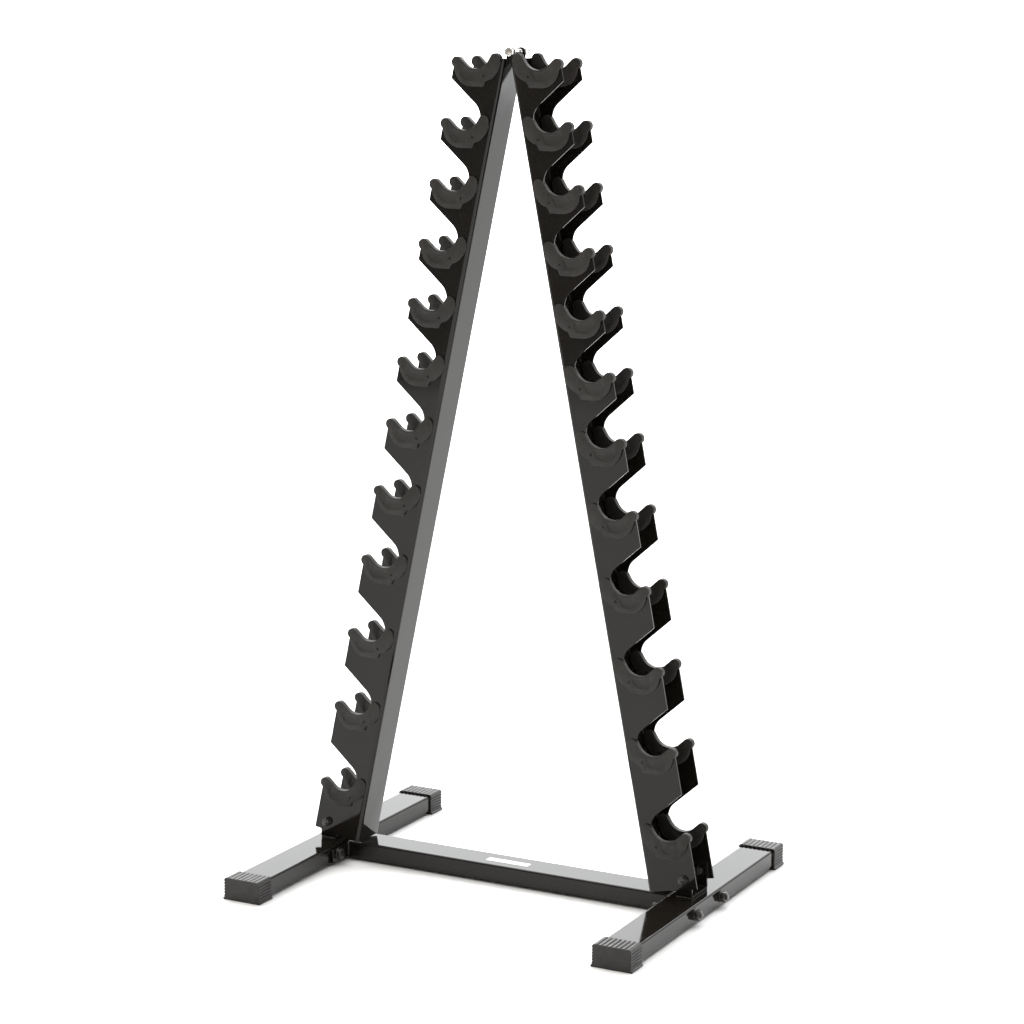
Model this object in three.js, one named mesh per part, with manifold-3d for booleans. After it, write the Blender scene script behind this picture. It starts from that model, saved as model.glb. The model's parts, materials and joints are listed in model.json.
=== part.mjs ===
// Dumbbell rack: two notched channel uprights lean together into an A-frame,
// stand on two long feet joined by a crossbar, and carry clip-on saddles.
// Millimetres. +X to the right, +Y to the rear, +Z up. The origin is on the
// floor, midway between the feet and midway along them.

import * as THREE from 'three';
import { mergeVertices } from 'three/addons/utils/BufferGeometryUtils.js';
import Module from 'manifold-3d';

const wasm = await Module();
wasm.setup();

// ---------------------------------------------------------------- dimensions

const GAP = 0.3;                      // clearance between touching pieces
const MARGIN = 20;                    // how far cutting tools overshoot

// Feet: rectangular tube along Y, with a rubber cap on each end.
const TUBE_WIDTH = 60;
const TUBE_HEIGHT = 30;
const TUBE_WALL = 2;
const TUBE_CORNER = 3;
const FOOT_CENTRE_X = 333.5;
const FOOT_BOTTOM_Z = 4;
const FOOT_TOP_Z = FOOT_BOTTOM_Z + TUBE_HEIGHT;
const BASE_LENGTH = 620;              // over the caps

const CAP_LENGTH = 40;
const CAP_END_WALL = 4;
const CAP_SIDE_WALL = 3;
const CAP_FLARE = 1;                  // extra half width at the floor
const CAP_RIB_DEPTH = 1.2;
const CAP_TOP_RIBS = 8;
const CAP_SIDE_RIBS = 5;

// Crossbar: the same tube laid flat, with a bolting plate on each end.
const CROSSBAR_CENTRE_Y = 3;
const CROSSBAR_BOTTOM_Z = 3;
const END_PLATE_THICKNESS = 5;
const END_PLATE_FRONT_Y = -77;
const END_PLATE_REAR_Y = 61;
const END_PLATE_BOTTOM_Z = 6;
const END_PLATE_TOP_Z = 29;
const VENT_RADIUS = 9;                // paint drain through each end plate
const FOOT_BOLT_Y = [-60, 45];
const FOOT_BOLT_Z = 19;
const FOOT_BOLT_RADIUS = 5;

// Uprights: one bent channel each, its web towards the middle of the rack.
const SHEET = 3;
const CHANNEL_WIDTH = 70;             // over the two flanges, along Y
const CHANNEL_CENTRE_Y = -4;
const BEND_RADIUS = 7;
const LEAN = 0.202;                   // sideways run of the web per unit height
const WEB_FOOT_X = 279;               // where the web face would meet the floor
const FLANGE_REACH = 88.8;            // web face to flange edge, measured level
const UPRIGHT_BOTTOM_Z = 36;          // web face corner at the lower end
const UPRIGHT_TOP_Z = 1361;           // web face corner at the upper end

// Dumbbell seats: heights of the lowest seat and the steps above it.
const LOWEST_SEAT_Z = 124.8;
const SEAT_STEPS = [137.5, 129.5, 129, 119.5, 114, 104, 97.3, 97.3, 97.3, 97.3, 97.3];
const SEAT_REACH = 46.7;              // web face to seat bottom, measured level
const SEAT_RADIUS = 26.5;             // of the saddle's curved top
const SADDLE_WALL = 3.5;              // rubber between the handle and the steel
const NOTCH_RADIUS = SEAT_RADIUS + SADDLE_WALL;
const NOTCH_WALL_REACH = 26.5;        // seat bottom to the notch's upright wall
const NOTCH_STEP_RISE = 17;           // where that wall stands back onto the bowl
const NOTCH_CORNER_RISE = 81.4;       // seat bottom to the corner above it
const NOTCH_ROOF_SLOPE = THREE.MathUtils.degToRad(42);
const NOTCH_FILLET = 29;

// Saddles: a crescent that straddles the flange, with a round horn each side.
const SADDLE_THICKNESS = 10;
const HORN_RADIUS = 8;
const OUTER_HORN = new THREE.Vector2(33.8, 9.8);
const INNER_HORN = new THREE.Vector2(-35, 16);
const LIP_RADIUS = 5;                 // steel tip inside the outer horn
const SKIRT_BOTTOM = -28;

// Clevis brackets that stand on the feet inside the uprights.
const BRACKET_SHEET = 4;
const BRACKET_WIDTH = 29;
const BRACKET_TOP_Z = 83;
const BRACKET_CORNER = 7;
const BRACKET_CENTRE_X = 332.5;
const CLEVIS_BOLT_Z = 65;
const CLEVIS_BOLT_RADIUS = 4;

// Apex joint: eye tabs on both webs and one long bolt along Y.
const TAB_SHEET = 2.5;
const TAB_EYE_RADIUS = 7;
const TAB_ROOT_Z = 1343;
const TAB_SHOULDER_Z = 1357;
const TAB_CLEARANCE = 2.4;            // from a tab's edge to the other upright's web
const TAB_FRONT_Y = -25.9;            // middle of the front pair of tabs
const TAB_REAR_Y = 10.6;              // middle of the rear pair
const APEX_BOLT_Z = 1372;
const APEX_BOLT_RADIUS = 4;
const APEX_HEAD_FLATS = 13;
const APEX_HEAD_HEIGHT = 5.3;
const APEX_NUT_HEIGHT = 6.8;
const APEX_BOLT_END_Y = 39;

// ----------------------------------------------------------------- materials

const finish = (color, roughness, metalness) =>
  new THREE.MeshStandardMaterial({ color, roughness, metalness });

const BLACK_PAINT = finish(0x161514, 0.18, 0.0);
const RACK_RUBBER = finish(0x3a3836, 0.6, 0.0);
const CAP_RUBBER = finish(0x33312f, 0.75, 0.0);
const ZINC = finish(0xc9cbce, 0.25, 1.0);

// -------------------------------------------------------------- solid helpers

/** Turns a closed three.js geometry into a manifold solid. */
function solid(geometry) {
  const bare = geometry.clone();
  bare.deleteAttribute('normal');
  bare.deleteAttribute('uv');
  const merged = mergeVertices(bare, 1e-4);
  return new wasm.Manifold(new wasm.Mesh({
    numProp: 3,
    vertProperties: merged.attributes.position.array,
    triVerts: new Uint32Array(merged.index.array),
  }));
}

/** Turns a manifold solid back into a three.js geometry. */
function geometryOf(body) {
  const result = body.getMesh();
  const geometry = new THREE.BufferGeometry();
  const positions = new Float32Array(result.vertProperties);
  geometry.setAttribute('position', new THREE.BufferAttribute(positions, 3));
  geometry.setIndex(new THREE.BufferAttribute(new Uint32Array(result.triVerts), 1));
  geometry.computeVertexNormals();
  return geometry;
}

/** Extrudes a shape drawn in X and Z along Y, centred on the given Y. */
function alongY(shape, thickness, centreY = 0) {
  const geometry = new THREE.ExtrudeGeometry(shape, { depth: thickness, bevelEnabled: false });
  geometry.rotateX(Math.PI / 2);
  geometry.translate(0, centreY + thickness / 2, 0);
  return geometry;
}

/** Extrudes a shape drawn in Y and Z along X, centred on the given X. */
function alongX(shape, thickness, centreX = 0) {
  const geometry = new THREE.ExtrudeGeometry(shape, { depth: thickness, bevelEnabled: false });
  geometry.applyMatrix4(new THREE.Matrix4().makeBasis(
    new THREE.Vector3(0, 1, 0),
    new THREE.Vector3(0, 0, 1),
    new THREE.Vector3(1, 0, 0),
  ));
  geometry.translate(centreX - thickness / 2, 0, 0);
  return geometry;
}

/** A box given by its lower and upper corners. */
function boxBetween(low, high) {
  const size = new THREE.Vector3().subVectors(high, low);
  const geometry = new THREE.BoxGeometry(size.x, size.y, size.z);
  const centre = new THREE.Vector3().addVectors(low, high).multiplyScalar(0.5);
  geometry.translate(centre.x, centre.y, centre.z);
  return geometry;
}

/** A round rod along Y, used for shanks and as a drill. */
function rodAlongY(radius, fromY, toY, x, z, sides = 12) {
  const geometry = new THREE.CylinderGeometry(radius, radius, toY - fromY, sides);
  geometry.translate(x, (fromY + toY) / 2, z);
  return geometry;
}

/** A round rod along X, used as a drill. */
function rodAlongX(radius, fromX, toX, y, z, sides = 12) {
  const geometry = new THREE.CylinderGeometry(radius, radius, toX - fromX, sides);
  geometry.rotateZ(Math.PI / 2);
  geometry.translate((fromX + toX) / 2, y, z);
  return geometry;
}

/** Points on a circular arc, both ends included. */
function arcPoints(centre, radius, fromAngle, toAngle, steps) {
  const points = [];
  for (let i = 0; i <= steps; i += 1) {
    const angle = fromAngle + (toAngle - fromAngle) * (i / steps);
    const x = centre.x + radius * Math.cos(angle);
    const y = centre.y + radius * Math.sin(angle);
    points.push(new THREE.Vector2(x, y));
  }
  return points;
}

/** A rectangle with its corners rounded by short arcs. */
function roundedRectangle(width, height, radius, centreX, centreY, steps = 2) {
  const right = width / 2 - radius;
  const top = height / 2 - radius;
  const corners = [[right, top, 0], [-right, top, 1], [-right, -top, 2], [right, -top, 3]];
  const points = [];
  for (const [x, y, quarter] of corners) {
    const centre = new THREE.Vector2(centreX + x, centreY + y);
    const start = quarter * Math.PI / 2;
    points.push(...arcPoints(centre, radius, start, start + Math.PI / 2, steps));
  }
  return new THREE.Shape(points);
}

/**
 * Where a straight line touches two circles that it passes between. The arc
 * leaves the first circle at the returned angle and joins the second circle at
 * the opposite angle.
 */
function crossTangentAngle(first, firstRadius, second, secondRadius, side) {
  const between = new THREE.Vector2().subVectors(second, first);
  const opening = Math.acos((firstRadius + secondRadius) / between.length());
  return between.angle() + side * opening;
}

// ------------------------------------------------------------ upright layout

/** Sideways place of the web face at a height, on the right-hand side. */
const webX = (z) => WEB_FOOT_X - LEAN * z;

/** Seat heights from the lowest level to the highest. */
const seatHeights = SEAT_STEPS.reduce(
  (heights, step) => [...heights, heights[heights.length - 1] + step],
  [LOWEST_SEAT_Z],
);

/** The bottom of a seat's curve in X and Z, on the right-hand side. */
const seatPoint = (z) => new THREE.Vector2(webX(z) + SEAT_REACH, z);

/** A point of the flange's straight outer edge at a height. */
const edgePoint = (z) => new THREE.Vector2(webX(z) + FLANGE_REACH, z);

/** The corner of a cut made square to the channel, at the flange edge. */
function squareCutCorner(webCornerZ) {
  const rise = FLANGE_REACH * LEAN / (1 + LEAN * LEAN);
  return edgePoint(webCornerZ + rise);
}

/** The centre of the round bottom of a notch and of its saddle. */
const bowlCentre = (seatZ) => seatPoint(seatZ).add(new THREE.Vector2(0, SEAT_RADIUS));

/** The sideways place of a notch's upright wall. */
const notchWallX = (seatZ) => seatPoint(seatZ).x - NOTCH_WALL_REACH;

/** The lower edge of a notch: the lip, the bowl and the step back to the wall. */
function notchFloor(seatZ) {
  const horn = seatPoint(seatZ).add(OUTER_HORN);
  const bowl = bowlCentre(seatZ);
  const leave = crossTangentAngle(horn, LIP_RADIUS, bowl, NOTCH_RADIUS, -1);
  const lip = arcPoints(horn, LIP_RADIUS, 0, leave, 2);
  lip[0].x = edgePoint(horn.y).x;
  const stepZ = seatZ + NOTCH_STEP_RISE;
  const end = Math.asin((bowl.y - stepZ) / NOTCH_RADIUS) - Math.PI;
  const round = arcPoints(bowl, NOTCH_RADIUS, leave - Math.PI, end, 5);
  return [...lip, ...round, new THREE.Vector2(notchWallX(seatZ), stepZ)];
}

/** The upper edge of a notch, from its upright wall out to the flange edge. */
function notchRoof(seatZ) {
  const corner = edgePoint(seatZ + NOTCH_CORNER_RISE);
  const wallX = notchWallX(seatZ);
  const turn = Math.PI / 2 - NOTCH_ROOF_SLOPE;
  const meetZ = corner.y - (corner.x - wallX) * Math.tan(NOTCH_ROOF_SLOPE);
  const tangent = NOTCH_FILLET * Math.tan(turn / 2);
  const centre = new THREE.Vector2(wallX + NOTCH_FILLET, meetZ - tangent);
  return [...arcPoints(centre, NOTCH_FILLET, Math.PI, Math.PI - turn, 2), corner];
}

/** The upright's side view in X and Z, left long at its upper end. */
function uprightSide() {
  const points = [];
  points.push(new THREE.Vector2(webX(UPRIGHT_BOTTOM_Z), UPRIGHT_BOTTOM_Z));
  points.push(squareCutCorner(UPRIGHT_BOTTOM_Z));
  const topSeat = seatHeights[seatHeights.length - 1];
  for (const seatZ of seatHeights.slice(0, -1)) {
    points.push(...notchFloor(seatZ), ...notchRoof(seatZ));
  }
  points.push(...notchFloor(topSeat));
  const above = UPRIGHT_TOP_Z + MARGIN;
  points.push(new THREE.Vector2(notchWallX(topSeat), above));
  points.push(new THREE.Vector2(webX(above), above));
  return new THREE.Shape(points);
}

/** Everything below the cut made square to the channel at its upper end. */
function belowTopCut() {
  const reach = 2 * FLANGE_REACH;
  const alongCut = (x) => new THREE.Vector2(webX(UPRIGHT_TOP_Z) + x, UPRIGHT_TOP_Z + LEAN * x);
  return new THREE.Shape([
    new THREE.Vector2(-reach, 0),
    new THREE.Vector2(WEB_FOOT_X + reach, 0),
    alongCut(reach),
    alongCut(-reach),
  ]);
}

/** The channel's section: a web and two flanges with round bends. */
function channelSection() {
  const half = CHANNEL_WIDTH / 2;
  const reach = FLANGE_REACH + MARGIN;
  const inner = half - SHEET;
  const outerBend = BEND_RADIUS;
  const innerBend = BEND_RADIUS - SHEET;
  const quarter = Math.PI / 2;
  const spot = (x, y) => new THREE.Vector2(x, y);
  const points = [
    spot(reach, -half),
    spot(reach, -inner),
    ...arcPoints(spot(SHEET + innerBend, -inner + innerBend), innerBend, 3 * quarter, 2 * quarter, 1),
    ...arcPoints(spot(SHEET + innerBend, inner - innerBend), innerBend, 2 * quarter, quarter, 1),
    spot(reach, inner),
    spot(reach, half),
    ...arcPoints(spot(outerBend, half - outerBend), outerBend, quarter, 2 * quarter, 2),
    ...arcPoints(spot(outerBend, -half + outerBend), outerBend, 2 * quarter, 3 * quarter, 2),
  ];
  return new THREE.Shape(points);
}

/** An eye tab that rises from the web of the right upright to the apex bolt. */
function apexTab(centreY) {
  const eye = new THREE.Vector2(0, APEX_BOLT_Z);
  const inside = SHEET / 2;
  const points = [
    new THREE.Vector2(webX(TAB_ROOT_Z) + inside, TAB_ROOT_Z),
    new THREE.Vector2(webX(TAB_SHOULDER_Z) + inside, TAB_SHOULDER_Z),
    ...arcPoints(eye, TAB_EYE_RADIUS, 0, Math.PI, 6),
    new THREE.Vector2(TAB_CLEARANCE - webX(TAB_SHOULDER_Z), TAB_SHOULDER_Z),
  ];
  return solid(alongY(new THREE.Shape(points), TAB_SHEET, centreY));
}

/** The right upright; the left one is its mirror image. */
function uprightBody(tabSide) {
  const length = UPRIGHT_TOP_Z * 1.2;
  const channel = new THREE.ExtrudeGeometry(channelSection(), { depth: length, bevelEnabled: false });
  channel.applyMatrix4(new THREE.Matrix4().set(
    1, 0, -LEAN, WEB_FOOT_X,
    0, 1, 0, CHANNEL_CENTRE_Y,
    0, 0, 1, 0,
    0, 0, 0, 1,
  ));
  const sweep = CHANNEL_WIDTH + MARGIN;
  const side = solid(alongY(uprightSide(), sweep, CHANNEL_CENTRE_Y));
  const cut = solid(alongY(belowTopCut(), sweep, CHANNEL_CENTRE_Y));
  let body = solid(channel).intersect(side).intersect(cut);
  for (const pairY of [TAB_FRONT_Y, TAB_REAR_Y]) {
    body = body.add(apexTab(pairY + tabSide * (TAB_SHEET + GAP) / 2));
  }
  const reach = CHANNEL_WIDTH;
  const apexHole = APEX_BOLT_RADIUS + GAP;
  body = body.subtract(solid(rodAlongY(apexHole, -reach, reach, 0, APEX_BOLT_Z)));
  const clevisHole = CLEVIS_BOLT_RADIUS + GAP;
  const drill = rodAlongY(clevisHole, -reach, reach, BRACKET_CENTRE_X, CLEVIS_BOLT_Z);
  return body.subtract(solid(drill));
}

// ------------------------------------------------------------------- saddles

/** The crescent outline of a saddle, with the seat bottom at (0, 0). */
function saddleOutline() {
  const bowl = new THREE.Vector2(0, SEAT_RADIUS);
  const outer = crossTangentAngle(OUTER_HORN, HORN_RADIUS, bowl, SEAT_RADIUS, -1);
  const inner = crossTangentAngle(bowl, SEAT_RADIUS, INNER_HORN, HORN_RADIUS, 1);
  const innerStart = inner + Math.PI;
  const fullTurn = 2 * Math.PI;
  const points = [
    ...arcPoints(OUTER_HORN, HORN_RADIUS, -0.9, outer, 3),
    ...arcPoints(bowl, SEAT_RADIUS, outer - Math.PI, inner - fullTurn, 5),
    ...arcPoints(INNER_HORN, HORN_RADIUS, innerStart - fullTurn, Math.PI + 0.45, 3),
    new THREE.Vector2(-33, -8),
    new THREE.Vector2(-19, -17),
    new THREE.Vector2(-14, SKIRT_BOTTOM),
    new THREE.Vector2(10, SKIRT_BOTTOM),
    new THREE.Vector2(30, -19),
    new THREE.Vector2(38, -8),
  ];
  return points;
}

/** The steel that a saddle sits on, grown by the clearance, as a cutting tool. */
function flangeTool(seatZ) {
  const seat = seatPoint(seatZ);
  const outline = notchFloor(seatZ).slice(0, -1).map((point) => point.clone().sub(seat));
  const far = -SEAT_RADIUS - MARGIN;
  const bowl = new THREE.Vector2(0, SEAT_RADIUS);
  const grown = outline.map((point) => {
    const toBowl = point.distanceTo(bowl) < NOTCH_RADIUS + GAP;
    const centre = toBowl ? bowl : OUTER_HORN;
    const away = new THREE.Vector2().subVectors(point, centre).normalize();
    return point.clone().addScaledVector(away, toBowl ? -GAP : GAP);
  });
  const edgeTop = grown[0];
  const drop = SKIRT_BOTTOM - MARGIN;
  const edgeBottom = new THREE.Vector2(edgeTop.x + LEAN * (edgeTop.y - drop), drop);
  const wall = GAP - NOTCH_WALL_REACH;
  const step = new THREE.Vector2(wall, NOTCH_STEP_RISE - GAP);
  grown[grown.length - 1].y = step.y;
  const wallTop = new THREE.Vector2(wall, SEAT_RADIUS + MARGIN);
  const corner = new THREE.Vector2(far - MARGIN, wallTop.y);
  const bottomCorner = new THREE.Vector2(corner.x, drop);
  const points = [edgeBottom, ...grown, step, wallTop, corner, bottomCorner];
  return solid(alongY(new THREE.Shape(points), SHEET + 2 * GAP));
}

/** One saddle, with its seat bottom at the origin. */
function saddleBody() {
  const crescent = solid(alongY(new THREE.Shape(saddleOutline()), SADDLE_THICKNESS));
  return crescent.subtract(flangeTool(seatHeights[0]));
}

// ------------------------------------------------------------- base and apex

/** A foot: a rectangular tube along Y, drilled for the crossbar's bolts. */
function footBody() {
  const length = BASE_LENGTH - 2 * (CAP_END_WALL + GAP);
  const middle = FOOT_BOTTOM_Z + TUBE_HEIGHT / 2;
  const outline = roundedRectangle(TUBE_WIDTH, TUBE_HEIGHT, TUBE_CORNER, 0, middle);
  const boreWidth = TUBE_WIDTH - 2 * TUBE_WALL;
  const boreHeight = TUBE_HEIGHT - 2 * TUBE_WALL;
  const bore = roundedRectangle(boreWidth, boreHeight, TUBE_CORNER - TUBE_WALL, 0, middle, 1);
  let body = solid(alongY(outline, length)).subtract(solid(alongY(bore, length + MARGIN)));
  for (const y of FOOT_BOLT_Y) {
    const reach = TUBE_WIDTH;
    const drill = rodAlongX(FOOT_BOLT_RADIUS + GAP, -reach, reach, y, FOOT_BOLT_Z);
    body = body.subtract(solid(drill));
  }
  return body;
}

/** Ribs along one straight edge of a cap's section, as points of its outline. */
function ribbedEdge(from, to, count) {
  const along = new THREE.Vector2().subVectors(to, from);
  const inward = new THREE.Vector2(-along.y, along.x).normalize().multiplyScalar(CAP_RIB_DEPTH);
  const points = [];
  for (let rib = 0; rib < count; rib += 1) {
    const spans = [0.0, 0.55, 0.65, 0.9];
    spans.forEach((span, index) => {
      const point = from.clone().addScaledVector(along, (rib + span) / count);
      if (index >= 2 && rib < count - 1) {
        point.add(inward);
      }
      if (index < 2 || rib < count - 1) {
        points.push(point);
      }
    });
  }
  points.push(to.clone());
  return points;
}

/** A rubber cap: a ribbed cup that slides over the front end of a foot. */
function capBody() {
  const half = TUBE_WIDTH / 2 + CAP_SIDE_WALL;
  const top = FOOT_TOP_Z + CAP_SIDE_WALL;
  const chamfer = 2.5;
  const flared = half + CAP_FLARE;
  const spot = (x, z) => new THREE.Vector2(x, z);
  const outline = [
    spot(-flared + chamfer / 2, 0),
    spot(flared - chamfer / 2, 0),
    ...ribbedEdge(spot(flared, chamfer), spot(half, top - chamfer), CAP_SIDE_RIBS),
    ...ribbedEdge(spot(half - chamfer, top), spot(-half + chamfer, top), CAP_TOP_RIBS),
    ...ribbedEdge(spot(-half, top - chamfer), spot(-flared, chamfer), CAP_SIDE_RIBS),
  ];
  const front = -BASE_LENGTH / 2;
  const skin = solid(alongY(new THREE.Shape(outline), CAP_LENGTH, front + CAP_LENGTH / 2));
  const reach = TUBE_WIDTH / 2 + GAP;
  const cavity = boxBetween(
    new THREE.Vector3(-reach, front + CAP_END_WALL, FOOT_BOTTOM_Z - GAP),
    new THREE.Vector3(reach, front + CAP_LENGTH + MARGIN, FOOT_TOP_Z + GAP),
  );
  return skin.subtract(solid(cavity));
}

/** The crossbar: a hollow tube with a drilled bolting plate welded to each end. */
function crossbarBody() {
  const plateFace = FOOT_CENTRE_X - TUBE_WIDTH / 2 - GAP;
  const middleZ = CROSSBAR_BOTTOM_Z + TUBE_HEIGHT / 2;
  const tubeLength = 2 * (plateFace - END_PLATE_THICKNESS / 2);
  const outline = roundedRectangle(TUBE_WIDTH, TUBE_HEIGHT, TUBE_CORNER, CROSSBAR_CENTRE_Y, middleZ);
  const boreWidth = TUBE_WIDTH - 2 * TUBE_WALL;
  const boreHeight = TUBE_HEIGHT - 2 * TUBE_WALL;
  const bore = roundedRectangle(
    boreWidth, boreHeight, TUBE_CORNER - TUBE_WALL, CROSSBAR_CENTRE_Y, middleZ, 1,
  );
  let body = solid(alongX(outline, tubeLength));
  for (const side of [-1, 1]) {
    const inner = side * (plateFace - END_PLATE_THICKNESS);
    const outer = side * plateFace;
    body = body.add(solid(boxBetween(
      new THREE.Vector3(Math.min(inner, outer), END_PLATE_FRONT_Y, END_PLATE_BOTTOM_Z),
      new THREE.Vector3(Math.max(inner, outer), END_PLATE_REAR_Y, END_PLATE_TOP_Z),
    )));
  }
  const boreLength = 2 * (plateFace - END_PLATE_THICKNESS);
  body = body.subtract(solid(alongX(bore, boreLength)));
  const reach = plateFace + MARGIN;
  for (const y of FOOT_BOLT_Y) {
    const drill = rodAlongX(FOOT_BOLT_RADIUS + GAP, -reach, reach, y, FOOT_BOLT_Z);
    body = body.subtract(solid(drill));
  }
  return body.subtract(solid(rodAlongX(VENT_RADIUS, -reach, reach, CROSSBAR_CENTRE_Y, middleZ)));
}

/** A clevis: a U of sheet standing on the foot, with an ear inside each flange. */
function bracketBody() {
  const bottom = FOOT_TOP_Z + GAP;
  const outer = CHANNEL_WIDTH / 2 - SHEET - GAP;
  const inner = outer - BRACKET_SHEET;
  const halfWidth = BRACKET_WIDTH / 2;
  const outerBend = BRACKET_SHEET + 2;
  const quarter = Math.PI / 2;
  const spot = (a, b) => new THREE.Vector2(a, b);
  const section = new THREE.Shape([
    ...arcPoints(spot(-outer + outerBend, bottom + outerBend), outerBend, 2 * quarter, 3 * quarter, 3),
    ...arcPoints(spot(outer - outerBend, bottom + outerBend), outerBend, 3 * quarter, 4 * quarter, 3),
    spot(outer, BRACKET_TOP_Z),
    spot(inner, BRACKET_TOP_Z),
    spot(inner, bottom + BRACKET_SHEET),
    spot(-inner, bottom + BRACKET_SHEET),
    spot(-inner, BRACKET_TOP_Z),
    spot(-outer, BRACKET_TOP_Z),
  ]);
  const corner = BRACKET_CORNER;
  const face = new THREE.Shape([
    spot(-halfWidth, bottom - MARGIN),
    spot(halfWidth, bottom - MARGIN),
    ...arcPoints(spot(halfWidth - corner, BRACKET_TOP_Z - corner), corner, 0, quarter, 3),
    ...arcPoints(spot(-halfWidth + corner, BRACKET_TOP_Z - corner), corner, quarter, 2 * quarter, 3),
  ]);
  const bent = solid(alongX(section, BRACKET_WIDTH));
  const trimmed = bent.intersect(solid(alongY(face, CHANNEL_WIDTH)));
  const hole = CLEVIS_BOLT_RADIUS + GAP;
  return trimmed.subtract(solid(rodAlongY(hole, -CHANNEL_WIDTH, CHANNEL_WIDTH, 0, CLEVIS_BOLT_Z)));
}

/** A hexagonal prism along Y. */
function hexAlongY(flats, fromY, toY, z) {
  const geometry = new THREE.CylinderGeometry(
    flats / Math.sqrt(3), flats / Math.sqrt(3), toY - fromY, 6,
  );
  geometry.translate(0, (fromY + toY) / 2, z);
  return geometry;
}

/** The apex bolt with its nut run on, as one tightened fastener. */
function apexBoltBody() {
  const pairHalf = TAB_SHEET + GAP / 2;
  const headBack = TAB_FRONT_Y - pairHalf - GAP;
  const nutFront = TAB_REAR_Y + pairHalf + GAP;
  const shankStart = headBack - APEX_HEAD_HEIGHT / 2;
  const shank = solid(rodAlongY(APEX_BOLT_RADIUS, shankStart, APEX_BOLT_END_Y, 0, APEX_BOLT_Z));
  const head = hexAlongY(APEX_HEAD_FLATS, headBack - APEX_HEAD_HEIGHT, headBack, APEX_BOLT_Z);
  const nut = hexAlongY(APEX_HEAD_FLATS, nutFront, nutFront + APEX_NUT_HEIGHT, APEX_BOLT_Z);
  return shank.add(solid(head)).add(solid(nut));
}

// ------------------------------------------------------------------ assembly

const rack = new THREE.Group();

/** Adds one named piece to a group. */
function addPiece(parent, name, body, material) {
  const mesh = new THREE.Mesh(geometryOf(body), material);
  mesh.name = name;
  parent.add(mesh);
  return mesh;
}

/** The mirror image of a solid across the plane X = 0. */
const mirrored = (body) => body.mirror([1, 0, 0]);

const SIDES = [
  { name: 'left', sign: -1 },
  { name: 'right', sign: 1 },
];
const FACES = [
  { name: 'front', sign: -1 },
  { name: 'rear', sign: 1 },
];

const foot = footBody();
const cap = capBody();
const bracket = bracketBody();
const saddle = saddleBody();
const flangeMiddle = (CHANNEL_WIDTH - SHEET) / 2;

addPiece(rack, 'crossbar', crossbarBody(), BLACK_PAINT);

for (const side of SIDES) {
  const onSide = (body) => (side.sign < 0 ? mirrored(body) : body);
  const tabSide = side.sign;
  addPiece(rack, `upright_${side.name}`, onSide(uprightBody(tabSide)), BLACK_PAINT);

  const footMesh = addPiece(rack, `foot_${side.name}`, onSide(foot), BLACK_PAINT);
  footMesh.position.x = side.sign * FOOT_CENTRE_X;

  const bracketMesh = addPiece(rack, `bracket_${side.name}`, bracket, BLACK_PAINT);
  bracketMesh.position.set(side.sign * BRACKET_CENTRE_X, CHANNEL_CENTRE_Y, 0);

  for (const face of FACES) {
    const capMesh = addPiece(rack, `end_cap_${side.name}_${face.name}`, cap, CAP_RUBBER);
    capMesh.position.x = side.sign * FOOT_CENTRE_X;
    capMesh.rotation.z = face.sign > 0 ? Math.PI : 0;

    seatHeights.forEach((seatZ, index) => {
      const level = String(seatHeights.length - index).padStart(2, '0');
      const name = `saddle_${side.name}_${face.name}_${level}`;
      const saddleMesh = addPiece(rack, name, onSide(saddle), RACK_RUBBER);
      const place = seatPoint(seatZ);
      const flangeY = CHANNEL_CENTRE_Y + face.sign * flangeMiddle;
      saddleMesh.position.set(side.sign * place.x, flangeY, place.y);
    });
  }
}

addPiece(rack, 'apex_bolt', apexBoltBody(), ZINC);

export default rack;
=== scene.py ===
"""The finished look of a dumbbell rack: rounded steel, moulded rubber, fasteners and welds."""

import json
import logging
import math
import random
from dataclasses import dataclass
from enum import Enum

import bpy
from mathutils import Matrix, Vector


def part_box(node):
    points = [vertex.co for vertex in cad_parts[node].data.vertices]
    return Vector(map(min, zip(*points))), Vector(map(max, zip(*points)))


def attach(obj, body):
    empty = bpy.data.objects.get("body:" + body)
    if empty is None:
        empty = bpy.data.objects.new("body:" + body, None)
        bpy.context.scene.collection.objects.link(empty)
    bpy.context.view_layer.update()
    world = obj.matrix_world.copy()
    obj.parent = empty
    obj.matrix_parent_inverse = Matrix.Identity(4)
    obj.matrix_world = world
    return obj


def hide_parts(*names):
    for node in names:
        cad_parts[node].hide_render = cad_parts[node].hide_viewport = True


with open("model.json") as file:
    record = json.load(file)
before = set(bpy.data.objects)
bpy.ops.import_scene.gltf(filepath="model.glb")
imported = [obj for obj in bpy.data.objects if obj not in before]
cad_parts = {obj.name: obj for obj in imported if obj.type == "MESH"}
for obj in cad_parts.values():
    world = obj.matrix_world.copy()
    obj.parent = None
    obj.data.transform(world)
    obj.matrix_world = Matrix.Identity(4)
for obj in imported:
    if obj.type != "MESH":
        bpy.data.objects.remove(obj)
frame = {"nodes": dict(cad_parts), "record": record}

LOG = logging.getLogger("dumbbell_rack")
MM = 0.001
FULL_TURN = 2 * math.pi
QUARTER = math.pi / 2
ALONG_X = Vector((1, 0, 0))
ALONG_Y = Vector((0, 1, 0))
ALONG_Z = Vector((0, 0, 1))
LEVELS = range(1, 13)
MERGE_DISTANCE = 0.002 * MM

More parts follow.
